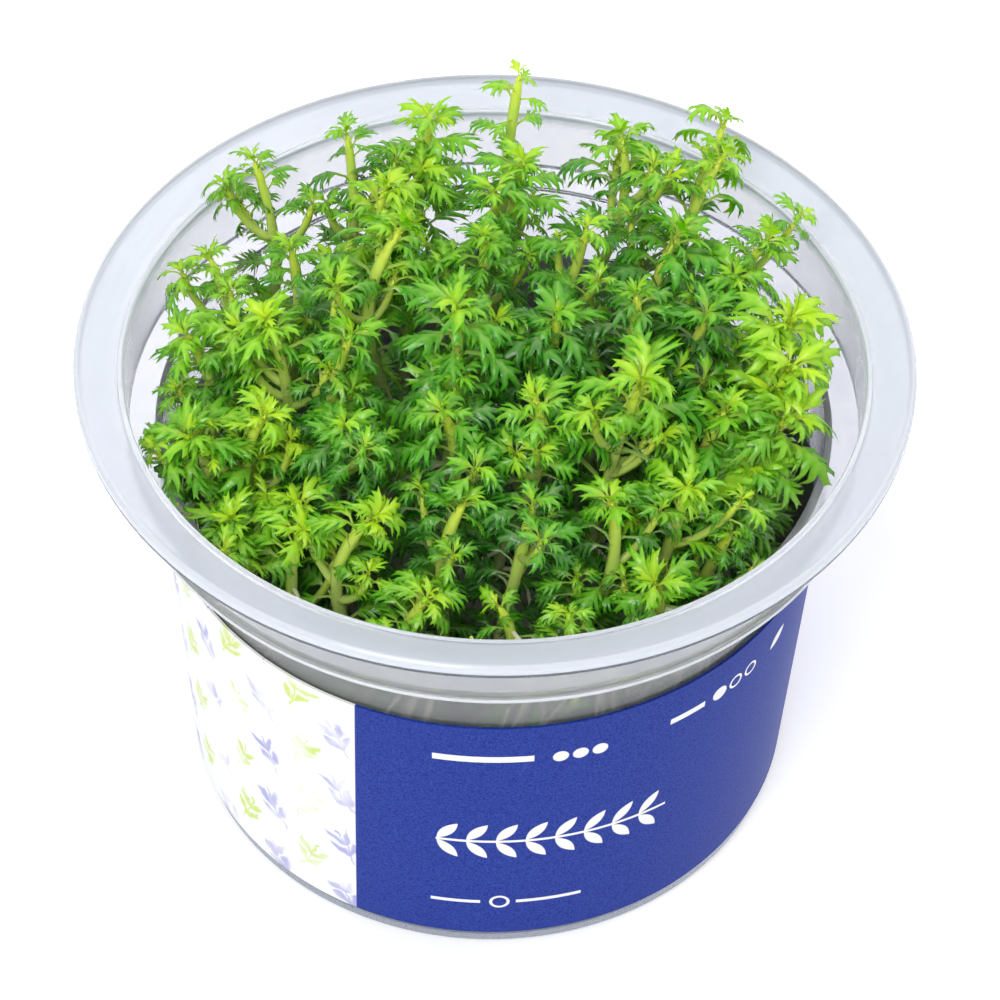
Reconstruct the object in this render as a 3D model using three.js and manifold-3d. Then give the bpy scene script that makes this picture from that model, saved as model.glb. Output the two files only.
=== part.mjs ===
// Tissue-culture cup of american featherfoil plantlets: a round polypropylene cup with a paper label,
// nutrient gel in the bottom, and some forty plantlets rooted in the gel, their crowns filling the mouth.
// Millimetres, +Z up, origin on the cup's axis where its foot ring stands. The camera side is -Y.

import * as THREE from 'three';
import { mergeVertices } from 'three/addons/utils/BufferGeometryUtils.js';
import Module from 'manifold-3d';

const wasm = await Module();
wasm.setup();

// Cup
const CUP_HEIGHT = 67;
const RIM_RADIUS = 50;
const WALL = 0.9;
const FOOT_RADIUS = 38.1;
const WALL_FLARE = 0.0492; // radius gained per millimetre of height
const FOOT_RING_WIDTH = 2.6;
const FOOT_RISE = 1.0; // the base is raised this far inside the foot ring
const FOOT_ROUND = 0.7;
const FLOOR_ROUND = 1.0;
const STEP_HEIGHT = 55.6; // where the tapered wall ends and the wider collar begins
const COLLAR_RADIUS = 45.1;
const COLLAR_BEAD = 0.4; // the collar's lower edge stands proud by this much
const BEAD_HEIGHT = 0.8;
const MOUTH_RADIUS = 44.2; // inner edge of the rim
const RIM_DISH = 1.9; // the rim slopes down this far to the mouth
const LIP_HEIGHT = 1.5;
const LIP_ROUND = 0.4;
const CUP_SEGMENTS = 36;

// Label
const LABEL_BOTTOM = 2.6;
const LABEL_TOP = 45.2;
const PAPER = 0.3;
const LABEL_SEAM = 0.6; // the gap between the label's two ends, at the back of the cup

// Gel
const GEL_DEPTH = 13.5;
const GEL_ROUND = 1.2;
const MENISCUS_RISE = 0.8;
const MENISCUS_WIDTH = 1.5;
const GEL_SEGMENTS = 27;

// Clearance between pieces that touch
const GAP = 0.3;

// Stems
const ROOT_END = 7.5; // height of the lower end of each stem, inside the gel
const ROOT_STRAIGHT = 19; // the stem stands upright up to here
const RISE_END = 70; // the height at which every stem has its crown's x and y
const STEM_RADIUS = 1.15;
const STEM_TIP_RADIUS = 0.8;
const STEM_SIDES = 5;
const FOOT_SCALE_X = 0.8; // feet stand closer together than crowns, because the cup widens upwards
const FOOT_SCALE_Y = 0.86;
const FOOT_SHIFT = -5; // the stems lean to the right as they rise
const SWAY = 1.2; // how far a stem bows sideways at the middle of its rise
const SWAY_TURN = 2.4; // the angle between the bows of one stem and the next
const LEAFY_LENGTH = 14; // length of stem below its tip that carries leaves

// Leaves
const LARGE_CROWN_LEAVES = 5;
const SMALL_CROWN_LEAVES = 4;
const LARGE_REACH = 9; // a crown whose leaves reach this far is a large one
const TOP_LEAF = 1; // the first leaf leaves the stem this far below its tip
const LEAF_PITCH = 2.5; // height between one leaf and the next on a stem
const LEAF_WIDTH = 0.4; // half the leaf's width at its lobes, as a share of its length
const LEAF_NOTCH = 0.2; // the same at the notch between its side lobes and its end lobe
const LOBE_SHARE = 0.5; // where along the leaf its side lobes are widest
const NOTCH_SHARE = 0.66; // and where the notch is
const LEAF_KEEL = 0.45; // height of the midrib above the leaf's two edges
const PETIOLE = 0.2; // half the width of the leaf where it leaves the stem
const ROOT_DEPTH = 0.2; // the leaf starts this far inside the stem's side
const YOUNG_LIFT = 58; // degrees: how a crown's top leaf leaves the stem
const YOUNG_DROOP = -10; // and how it ends
const OLD_LIFT = 18; // the same for its lowest leaf
const OLD_DROOP = -38;
const REACH_SHARES = [1, 0.88, 0.76, 0.64, 0.52]; // shorter and shorter leaves, tried until one is clear
const LEAF_DROP = 3; // a leaf's tip hangs this far below its root
const WALL_CLEARANCE = 1.2; // the leaves stay this far from the cup's wall

// Vertices nearer than the first are one vertex, and a unit prism's coordinates under the second are zero.
const WELD = 1e-4;
const EDGE_TOLERANCE = 1e-3;

// Crowns, row by row from the back of the cup to the front: x, y, height, and the reach of the leaves.
const CROWNS = [
  [1, 32, 81, 8], [-9, 32, 74, 8], [-19, 29, 74, 8], [-30, 25, 73, 8], [14, 27, 76, 9], [26, 25, 75, 9],
  [2, 22, 76, 9], [-14, 20, 73, 8],
  [-35, 13, 68, 8], [-25, 13, 70, 8], [-12, 10, 76, 9], [-2, 12, 73, 8], [10, 12, 75, 8], [21, 14, 72, 9],
  [32, 14, 72, 9],
  [-37, 2, 66, 8], [-27, 0, 70, 9], [-17, -2, 70, 8], [-5, -1, 74, 9], [7, 1, 71, 8], [16, 3, 73, 8],
  [25, 3, 70, 9], [35, 3, 69, 9],
  [-36, -10, 61, 8], [-27, -11, 65, 8], [-17, -13, 66, 8], [-6, -12, 68, 8], [5, -11, 69, 8],
  [17, -9, 70, 10], [28, -8, 65, 9], [37, -8, 64, 8],
  [-31, -20, 57, 7], [-22, -24, 58, 8], [-13, -23, 61, 8], [-3, -21, 62, 8], [6, -22, 62, 8],
  [15, -20, 62, 8], [24, -18, 61, 10], [33, -18, 58, 10],
  [-7, -31, 56, 8], [3, -32, 54, 8], [12, -31, 54, 8], [21, -28, 55, 8],
];

const polypropylene = new THREE.MeshStandardMaterial({
  color: 0xe9e8f0, roughness: 0.3, metalness: 0, transparent: true, opacity: 0.35,
});
const paper = new THREE.MeshStandardMaterial({ color: 0x2b3783, roughness: 0.75, metalness: 0 });
const nutrientGel = new THREE.MeshStandardMaterial({ color: 0xc9c9bd, roughness: 0.2, metalness: 0 });
const foliage = new THREE.MeshStandardMaterial({ color: 0x4fa31d, roughness: 0.5, metalness: 0 });

const wallRadius = (z) => FOOT_RADIUS + WALL_FLARE * z;

// A closed solid from a three.js geometry, with the vertices of its seams joined.
function solidFrom(geometry) {
  const bare = geometry.clone();
  bare.deleteAttribute('normal');
  bare.deleteAttribute('uv');
  const merged = mergeVertices(bare, WELD);
  return new wasm.Manifold(new wasm.Mesh({
    numProp: 3,
    vertProperties: new Float32Array(merged.attributes.position.array),
    triVerts: new Uint32Array(merged.index.array),
  }));
}

function geometryFrom(solid) {
  const mesh = solid.getMesh();
  const geometry = new THREE.BufferGeometry();
  geometry.setAttribute('position', new THREE.BufferAttribute(mesh.vertProperties, 3));
  geometry.setIndex(new THREE.BufferAttribute(mesh.triVerts, 1));
  geometry.computeVertexNormals();
  return geometry;
}

function named(name, geometry, material) {
  const mesh = new THREE.Mesh(geometry, material);
  mesh.name = name;
  return mesh;
}

// Turns a profile of [radius, height] pairs about the Z axis.
function turned(profile, segments) {
  const points = profile.map(([radius, height]) => new THREE.Vector2(radius, height));
  return new THREE.LatheGeometry(points, segments).rotateX(Math.PI / 2);
}

function makeCup() {
  const floor = FOOT_RISE + WALL;
  const ledge = wallRadius(STEP_HEIGHT);
  const mouthHeight = CUP_HEIGHT - RIM_DISH;
  const profile = [
    [0, FOOT_RISE],
    [FOOT_RADIUS - FOOT_RING_WIDTH - FOOT_ROUND, FOOT_RISE],
    [FOOT_RADIUS - FOOT_RING_WIDTH, 0],
    [FOOT_RADIUS - FOOT_ROUND, 0],
    [wallRadius(FOOT_ROUND), FOOT_ROUND],
    [ledge, STEP_HEIGHT],
    [COLLAR_RADIUS + COLLAR_BEAD, STEP_HEIGHT],
    [COLLAR_RADIUS, STEP_HEIGHT + BEAD_HEIGHT],
    [COLLAR_RADIUS, mouthHeight - WALL],
    [RIM_RADIUS - LIP_ROUND, CUP_HEIGHT - LIP_HEIGHT],
    [RIM_RADIUS, CUP_HEIGHT - LIP_HEIGHT + LIP_ROUND],
    [RIM_RADIUS, CUP_HEIGHT - LIP_ROUND],
    [RIM_RADIUS - 2 * LIP_ROUND, CUP_HEIGHT],
    [MOUTH_RADIUS, mouthHeight],
    [MOUTH_RADIUS - LIP_ROUND / 2, STEP_HEIGHT + WALL],
    [ledge - WALL, STEP_HEIGHT + WALL],
    [wallRadius(floor) - WALL, floor + FLOOR_ROUND],
    [wallRadius(floor) - WALL - FLOOR_ROUND, floor],
    [0, floor],
  ];
  return named('cup', turned(profile, CUP_SEGMENTS), polypropylene);
}

function makeLabel() {
  const inner = (z) => wallRadius(z) + GAP;
  const sleeve = turned([
    [inner(LABEL_BOTTOM), LABEL_BOTTOM],
    [inner(LABEL_BOTTOM) + PAPER, LABEL_BOTTOM],
    [inner(LABEL_TOP) + PAPER, LABEL_TOP],
    [inner(LABEL_TOP), LABEL_TOP],
    [inner(LABEL_BOTTOM), LABEL_BOTTOM],
  ], CUP_SEGMENTS);
  const slot = new THREE.BoxGeometry(LABEL_SEAM, RIM_RADIUS, 2 * LABEL_TOP)
    .translate(0, RIM_RADIUS, LABEL_TOP / 2);
  return named('label', geometryFrom(solidFrom(sleeve).subtract(solidFrom(slot))), paper);
}

const footOf = ([x, y]) => [x * FOOT_SCALE_X + FOOT_SHIFT, y * FOOT_SCALE_Y];

// The centre line of a stem: upright out of the gel, then leaning and bowing over to its crown.
function stemCentre(crown, z) {
  const foot = footOf(crown);
  const rise = Math.max(0, (z - ROOT_STRAIGHT) / (RISE_END - ROOT_STRAIGHT));
  const bow = SWAY * Math.sin(Math.PI * Math.min(rise, 1));
  const side = CROWNS.indexOf(crown) * SWAY_TURN;
  return [
    THREE.MathUtils.lerp(foot[0], crown[0], rise) + bow * Math.cos(side),
    THREE.MathUtils.lerp(foot[1], crown[1], rise) + bow * Math.sin(side),
  ];
}

// Heights of a stem's cross sections. Between them it runs straight.
const stemLevels = ([, , top]) => [ROOT_END, ROOT_STRAIGHT, top - LEAFY_LENGTH, top];

function stemRadius([, , top], z) {
  return THREE.MathUtils.mapLinear(z, ROOT_END, top, STEM_RADIUS, STEM_TIP_RADIUS);
}

// The stem is a tapering prism, turned so that its sides face the ways its leaves grow.
function makeStem(crown, turn) {
  const levels = stemLevels(crown);
  const steps = levels.length - 1;
  const stem = new THREE.CylinderGeometry(1, 1, 1, STEM_SIDES, steps).rotateY(turn);
  const position = stem.attributes.position;
  for (let i = 0; i < position.count; i += 1) {
    const ring = Math.round((position.getY(i) + 0.5) * steps);
    const radius = stemRadius(crown, levels[ring]);
    const [x, y] = stemCentre(crown, levels[ring]);
    position.setXYZ(i, x + position.getZ(i) * radius, y + position.getX(i) * radius, levels[ring]);
  }
  return solidFrom(stem);
}

// How far a leaf may reach from a stem towards an angle before it meets the cup's wall.
function roomToWall([x, y], angle, z) {
  const inCollar = z > STEP_HEIGHT + LEAF_DROP;
  const limit = (inCollar ? MOUTH_RADIUS : wallRadius(z) - WALL) - WALL_CLEARANCE;
  const outward = x * Math.cos(angle) + y * Math.sin(angle);
  return Math.sqrt(outward ** 2 + limit ** 2 - x ** 2 - y ** 2) - outward;
}

// One lobed leaf with a raised midrib, arching out from the point where it leaves the stem.
function makeLeaf([x, y, z], angle, reach, lift, droop) {
  const stations = [
    [0, PETIOLE],
    [LOBE_SHARE, LEAF_WIDTH * reach],
    [NOTCH_SHARE, LEAF_NOTCH * reach],
    [1, 0],
  ];
  const steps = stations.length - 1;
  const leaf = new THREE.ConeGeometry(1, 1, 3, steps);
  const position = leaf.attributes.position;
  const bend = droop - lift;
  const length = reach * bend / (Math.sin(droop) - Math.sin(lift));
  for (let i = 0; i < position.count; i += 1) {
    const ring = Math.round((position.getY(i) + 0.5) * steps);
    const [share, halfWidth] = stations[ring];
    const isEdge = Math.abs(position.getX(i)) > EDGE_TOLERANCE;
    const isMidrib = !isEdge && position.getZ(i) > EDGE_TOLERANCE;
    const across = isEdge ? Math.sign(position.getX(i)) * halfWidth : 0;
    const keel = isMidrib ? LEAF_KEEL : 0;
    const slope = lift + bend * share;
    const out = length * (Math.sin(slope) - Math.sin(lift)) / bend - keel * Math.sin(slope);
    const up = length * (Math.cos(lift) - Math.cos(slope)) / bend + keel * Math.cos(slope);
    position.setXYZ(
      i,
      x + out * Math.cos(angle) + across * Math.sin(angle),
      y + out * Math.sin(angle) - across * Math.cos(angle),
      z + up,
    );
  }
  return solidFrom(leaf);
}

const boxesTouch = (a, b) => [0, 1, 2].every((i) => a.min[i] < b.max[i] && b.min[i] < a.max[i]);

// The longest leaf, up to the wanted reach, that keeps clear of every other plantlet.
function fitLeaf(start, angle, wanted, lift, droop, others) {
  for (const share of REACH_SHARES) {
    const reach = wanted * share;
    const room = makeLeaf(start, angle, reach + GAP, lift, droop);
    const box = room.boundingBox();
    const near = others.filter((other) => boxesTouch(box, other.boundingBox()));
    if (near.every((other) => room.intersect(other).isEmpty())) {
      return makeLeaf(start, angle, reach, lift, droop);
    }
  }
  return null;
}

// Each leaf leaves the middle of one of the stem's sides, two sides on from the leaf above it. All crowns
// grow their top leaves first, so that none is crowded out. The young top leaves stand steeper.
function growLeaves(stems) {
  const side = 2 * Math.PI / STEM_SIDES;
  const leaves = CROWNS.map(() => []);
  for (let k = 0; k < LARGE_CROWN_LEAVES; k += 1) {
    const age = k / (LARGE_CROWN_LEAVES - 1);
    const lift = THREE.MathUtils.degToRad(YOUNG_LIFT - (YOUNG_LIFT - OLD_LIFT) * age);
    const droop = THREE.MathUtils.degToRad(YOUNG_DROOP - (YOUNG_DROOP - OLD_DROOP) * age);
    CROWNS.forEach((crown, index) => {
      if (crown[3] < LARGE_REACH && k >= SMALL_CROWN_LEAVES) return;
      const z = crown[2] - TOP_LEAF - k * LEAF_PITCH;
      const angle = index * SWAY_TURN + side * (0.5 + 2 * k);
      const root = stemRadius(crown, z) * Math.cos(side / 2) - ROOT_DEPTH;
      const centre = stemCentre(crown, z);
      const start = [centre[0] + root * Math.cos(angle), centre[1] + root * Math.sin(angle), z];
      const wanted = Math.min(crown[3], roomToWall(centre, angle, z)) - root;
      const others = [...stems, ...leaves.flat()].filter((solid) => solid !== stems[index]
        && !leaves[index].includes(solid));
      const leaf = fitLeaf(start, angle, wanted, lift, droop, others);
      if (leaf) leaves[index].push(leaf);
    });
  }
  return leaves;
}

function makePlantlets() {
  const stems = CROWNS.map((crown, index) => makeStem(crown, index * SWAY_TURN));
  const leaves = growLeaves(stems);
  return stems.map((stem, index) => {
    const plantlet = leaves[index].reduce((whole, leaf) => whole.add(leaf), stem);
    const number = String(index + 1).padStart(2, '0');
    return named(`plantlet_${number}`, geometryFrom(plantlet), foliage);
  });
}

// The gel fills the bottom of the cup, with a well round every stem that stands in it.
function makeGel() {
  const floor = FOOT_RISE + WALL + GAP;
  const top = floor + GEL_DEPTH;
  const edge = (z) => wallRadius(z) - WALL - GAP;
  let gel = solidFrom(turned([
    [0, floor],
    [edge(floor) - GEL_ROUND, floor],
    [edge(floor + GEL_ROUND), floor + GEL_ROUND],
    [edge(top + MENISCUS_RISE), top + MENISCUS_RISE],
    [edge(top) - MENISCUS_WIDTH, top],
    [0, top],
  ], GEL_SEGMENTS));
  const well = (STEM_RADIUS + GAP) / Math.cos(Math.PI / STEM_SIDES);
  const depth = ROOT_STRAIGHT - ROOT_END + GAP;
  for (const crown of CROWNS) {
    const [x, y] = footOf(crown);
    const cutter = new THREE.CylinderGeometry(well, well, depth, STEM_SIDES)
      .rotateX(Math.PI / 2)
      .translate(x, y, ROOT_END - GAP + depth / 2);
    gel = gel.subtract(solidFrom(cutter));
  }
  return named('gel', geometryFrom(gel), nutrientGel);
}

const model = new THREE.Group();
model.add(makeCup(), makeLabel(), makeGel(), ...makePlantlets());

export default model;
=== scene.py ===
"""Tissue-culture cup of american featherfoil plantlets: the finished look of every piece.

The cup, label and gel are turned about the Z axis, and each plantlet is a curved stem with a spiral of
lobed, arching leaves. Sizes are in millimetres until a piece is finished, and metres after that.
"""

from __future__ import annotations

import logging
import math
import random
from dataclasses import dataclass
from enum import Enum
from typing import Any, Iterable, Sequence

import bmesh
import bpy
from bmesh.types import BMEdge, BMesh, BMFace, BMVert
from bpy.types import Material, Node, NodeSocket, NodeTree, Object
from mathutils import Matrix, Vector


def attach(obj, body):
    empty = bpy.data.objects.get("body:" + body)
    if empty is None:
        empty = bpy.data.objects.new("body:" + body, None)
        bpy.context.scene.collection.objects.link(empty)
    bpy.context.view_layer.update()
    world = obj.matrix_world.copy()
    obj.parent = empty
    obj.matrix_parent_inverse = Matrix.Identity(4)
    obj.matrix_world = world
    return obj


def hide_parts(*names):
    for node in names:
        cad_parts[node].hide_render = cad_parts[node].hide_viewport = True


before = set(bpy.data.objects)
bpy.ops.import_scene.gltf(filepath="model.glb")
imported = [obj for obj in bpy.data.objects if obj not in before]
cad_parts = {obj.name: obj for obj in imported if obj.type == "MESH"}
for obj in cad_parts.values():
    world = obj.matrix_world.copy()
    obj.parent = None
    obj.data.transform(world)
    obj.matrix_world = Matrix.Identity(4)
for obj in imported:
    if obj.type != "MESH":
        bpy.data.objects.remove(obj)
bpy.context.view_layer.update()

LOG = logging.getLogger("featherfoil")
MM = 0.001
BODY = "root"
PHOTO_SIDE = 1000.0
SENSOR = 36.0
Span = tuple[float, float]
Stops = tuple[tuple[float, str], ...]
Spine = list[tuple[float, float, float]]

# The cup's wall, as the frame has it. The flare is what its radius gains per millimetre of height.
FOOT_RADIUS = 38.1
WALL_FLARE = 0.0492
WALL = 0.9
STEP_HEIGHT = 55.6
MOUTH_RADIUS = 44.2
GEL_TOP = 15.7


def wall_radius(height: float) -> float:
    """Returns the outer radius of the cup's tapered wall at a height, both in millimetres."""
    return FOOT_RADIUS + WALL_FLARE * height


def curve(start: float, change: float, power: float, share: float) -> float:
    """Returns a value that changes by an amount as a share goes from 0 to 1, by a power of the share."""
    return start + change * share ** power


def clamp(value: float) -> float:
    """Returns a value held between 0 and 1."""
    return min(max(value, 0.0), 1.0)


def turn_to(way: Vector) -> Matrix:
    """Returns the turn from straight up to a direction."""
    return Vector((0.0, 0.0, 1.0)).rotation_difference(way).to_matrix()


def level(heading: float) -> Vector:
    """Returns the level direction of an angle, in radians."""
    return Vector((math.cos(heading), math.sin(heading), 0.0))


def linear(colour: str) -> tuple[float, float, float, float]:
    """Returns an sRGB hex colour in linear light, with an alpha of 1."""
    channels = [int(colour[start:start + 2], 16) / 255 for start in (1, 3, 5)]
    light = [c / 12.92 if c <= 0.04045 else ((c + 0.055) / 1.055) ** 2.4 for c in channels]
    return (*light, 1.0)


def add(tree: NodeTree, kind: str, inputs: dict[Any, Any] | None = None, stops: Stops = (),
        **settings: Any) -> Node:
    """Adds a node, with its settings, values and links.

    Args:
        tree: The node tree that it goes in.
        kind: The node's type, less the words that all begin with.
        inputs: What each input holds, by name or number: a value, a hex colour, a socket to link, or a node
            whose first output in use is linked.
        stops: The places and hex colours of a colour ramp.
        settings: Properties of the node.

    Returns:
        The new node.
    """
    node = tree.nodes.new(f"ShaderNode{kind}")
    for name, value in settings.items():
        setattr(node, name, value)
    for key, value in (inputs or {}).items():
        if isinstance(value, Node):
            value = next(socket for socket in value.outputs if socket.enabled)
        if isinstance(value, NodeSocket):
            tree.links.new(value, node.inputs[key])
        else:
            node.inputs[key].default_value = linear(value) if isinstance(value, str) else value
    elements = node.color_ramp.elements if stops else ()
    while len(elements) < len(stops):
        elements.new(1.0)
    for element, (place, colour) in zip(elements, stops):
        element.position = place
        element.color = linear(colour)
    return node


def new_material(name: str) -> tuple[Material, NodeTree, NodeSocket]:
    """Makes a material, and returns it, its empty node tree and a socket for the place on the piece."""
    material = bpy.data.materials.new(name)
    material.use_nodes = True
    tree = material.node_tree
    tree.nodes.clear()
    return material, tree, add(tree, "TexCoord").outputs["Object"]


def finish_surface(tree: NodeTree, inputs: dict[str, Any]) -> None:
    """Ends a material in one Principled shader, whose sockets hold the inputs."""
    add(tree, "OutputMaterial", {"Surface": add(tree, "BsdfPrincipled", inputs)})


class Mark(Enum):
    """The shapes that the label's print is made of."""

    DOT = "dot"
    RING = "ring"
    BAR = "bar"
    LEAF = "leaf"


@dataclass(frozen=True)
class Stamp:
    """One printed mark.

    Attributes:
        mark: Its shape.
        u: Its centre along the label, in millimetres from the front.
        v: Its centre's height on the cup, in millimetres.
        half_length: Half its length, in millimetres.
        half_width: Half its width, in millimetres.
        turn: How far it is turned, in degrees.
    """

    # A ring's middle line and half its line's width, as shares of its radius.
    RING_LINE = 0.85
    RING_HALF = 0.15

    mark: Mark
    u: float
    v: float
    half_length: float
    half_width: float
    turn: float = 0.0

    def mask(self, tree: NodeTree, place: Node, soft: float = 0.06) -> Node:
        """Adds the nodes that are 1 on the mark and 0 off it.

        Args:
            tree: The label's node tree.
            place: The place on the label, in millimetres.
            soft: How wide the mark's edge is, as a share of its half size.

        Returns:
            The mask.
        """
        is_bar = self.mark is Mark.BAR
        local = add(tree, "Mapping", {
            "Vector": place, "Location": (self.u, self.v, 0.0),
            "Rotation": (0.0, 0.0, math.radians(self.turn)),
            "Scale": (1.0, 1.0, 1.0) if is_bar else (self.half_length, self.half_width, 1.0),
        }, vector_type="TEXTURE")
        if self.mark in (Mark.DOT, Mark.RING):
            reach = add(tree, "VectorMath", {0: local}, operation="LENGTH")
        else:
            flat = add(tree, "VectorMath", {0: local}, operation="ABSOLUTE")
            if is_bar:
                shorter = (self.half_width - self.half_length, 0.0, 0.0)
                flat = add(tree, "VectorMath", {0: flat, 1: shorter}, operation="ADD")
                flat = add(tree, "VectorMath", {0: flat, "Scale": 1 / self.half_width}, operation="SCALE")
            sides = add(tree, "SeparateXYZ", {0: flat})
            along, across = sides.outputs["X"], sides.outputs["Y"]
            if self.mark is Mark.LEAF:
                along = add(tree, "Math", {0: along, 1: along}, operation="MULTIPLY")
            joined = "ADD" if self.mark is Mark.LEAF else "MAXIMUM"
            reach = add(tree, "Math", {0: along, 1: across}, operation=joined)
        if self.mark is Mark.RING:
            off = add(tree, "Math", {0: reach, 1: self.RING_LINE}, operation="SUBTRACT")
            near = add(tree, "Math", {0: off}, operation="ABSOLUTE")
            reach = add(tree, "Math", {0: near, 1: self.RING_HALF}, operation="DIVIDE")
        return add(tree, "MapRange", {"Value": reach, "From Min": 1.0 + soft, "From Max": 1.0 - soft})


def union(tree: NodeTree, masks: Iterable[Node]) -> Node:
    """Adds the nodes that join masks, and returns the one that holds the largest."""
    whole, *others = masks
    for mask in others:
        whole = add(tree, "Math", {0: whole, 1: mask}, operation="MAXIMUM")
    return whole


@dataclass(frozen=True)
class Polypropylene:
    """Clear, slightly milky injection-moulded polypropylene, as food and laboratory cups are made of.

    Light comes through it softened, and a satin skin gives it broad, dim highlights. IOR 1.49. The skin's
    unevenness is about 3 mm across, and its fine grain, about 0.1 mm in the real thing, is drawn at 0.3 mm.
    """

    tint: str = "#F6F6FB"
    cloud: str = "#EEEFF6"
    flange_tint: str = "#E7EAF1"
    # The rim's edge lines are made milkier and less clear, as painted highlight lines.
    highlight_line_tint: str = "#E4E8F0"
    foot_tint: str = "#ACB5C2"
    # A dark painted shadow along the lip's lower edge.
    lip_shadow_tint: str = "#6E7880"
    roughness: float = 0.15
    see_through: float = 0.925
    collar_see_through: float = 0.84
    flange_see_through: float = 0.6
    highlight_line_see_through: float = 0.35
    scatter: float = 1.5
    wave: float = 3.0
    grain: float = 0.3

    # Where each zone starts and where it is whole, in millimetres: three from the axis, and four above the
    # ground. The painted highlight lines on the step's bead and at the mouth have half their width.
    lip: Span = (49.2, 49.6)
    flange: Span = (44.6, 45.4)
    outside: Span = (44.9, 45.1)
    foot: Span = (2.8, 2.5)
    collar: Span = (55.0, 57.0)
    upper: Span = (63.5, 64.5)
    over_edge: Span = (65.8, 66.0)
    bead_half: float = 0.5
    mouth_half: float = 0.65

    def build(self) -> Material:
        """Returns the cup's material."""
        material, tree, place = new_material("moulded_polypropylene")
        xyz = add(tree, "SeparateXYZ", {0: place})
        height = xyz.outputs["Z"]
        flat = add(tree, "CombineXYZ", {"X": xyz.outputs["X"], "Y": xyz.outputs["Y"]})
        radius = add(tree, "VectorMath", {0: flat}, operation="LENGTH")
        lip, flange, outside, foot, collar, upper, over_edge = (
            add(tree, "MapRange", {"Value": value, "From Min": span[0] * MM, "From Max": span[1] * MM})
            for value, span in ((radius, self.lip), (radius, self.flange), (radius, self.outside),
                                (height, self.foot), (height, self.collar), (height, self.upper),
                                (height, self.over_edge))
        )
        bead, mouth = (
            add(tree, "Math", {0: value, 1: middle * MM, 2: half * MM}, operation="COMPARE")
            for value, middle, half in ((height, STEP_HEIGHT, self.bead_half),
                                        (radius, MOUTH_RADIUS, self.mouth_half))
        )
        # Painted highlight lines: the lip above its lower edge, the bead outside the collar and the mouth's
        # edge.
        brim, bead_highlight, mouth_highlight, lip_highlight = (
            add(tree, "Math", {0: one, 1: other}, operation="MULTIPLY")
            for one, other in ((flange, upper), (bead, outside), (mouth, upper), (lip, over_edge))
        )
        # Painted shadow: the lip below over_edge is tinted dark as the shade under the lip, and is taken out
        # of the brim.
        under = add(tree, "Math", {0: lip, 1: lip_highlight}, operation="SUBTRACT")
        brim = add(tree, "Math", {0: brim, 1: under}, operation="SUBTRACT", use_clamp=True)
        edges = union(tree, (lip_highlight, bead_highlight, mouth_highlight))

        wave = add(tree, "TexNoise", {"Vector": place, "Scale": 1 / (self.wave * MM), "Detail": 2.0})
        grain = add(tree, "TexNoise", {"Vector": place, "Scale": 1 / (self.grain * MM), "Detail": 1.0})
        rough = add(tree, "MapRange", {
            "Value": wave, "To Min": self.roughness - 0.04, "To Max": self.roughness + 0.05,
        })
        soft = add(tree, "Bump", {"Height": wave, "Strength": 0.12, "Distance": 0.2 * MM})
        fine = add(tree, "Bump", {"Height": grain, "Normal": soft, "Strength": 0.1, "Distance": 0.02 * MM})
        colour = add(tree, "ValToRGB", {"Fac": wave}, ((0.3, self.cloud), (0.7, self.tint)))
        for zone, tint in ((brim, self.flange_tint), (edges, self.highlight_line_tint), (foot, self.foot_tint),
                           (under, self.lip_shadow_tint)):
            colour = add(tree, "Mix", {0: zone, 6: colour, 7: tint}, data_type="RGBA")
        clear = add(tree, "MapRange", {
            "Value": collar, "To Min": self.see_through, "To Max": self.collar_see_through,
        })
        for zone, see_through in ((brim, self.flange_see_through), (edges, self.highlight_line_see_through)):
            clear = add(tree, "Mix", {0: zone, 2: clear, 3: see_through})
        finish_surface(tree, {
            "Base Color": colour, "Roughness": rough, "IOR": 1.49, "Transmission Weight": clear,
            "Normal": fine, "Subsurface Weight": 1.0, "Subsurface Radius": (1.0, 1.0, 1.0),
            "Subsurface Scale": self.scatter * MM,
        })
        return material


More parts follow.
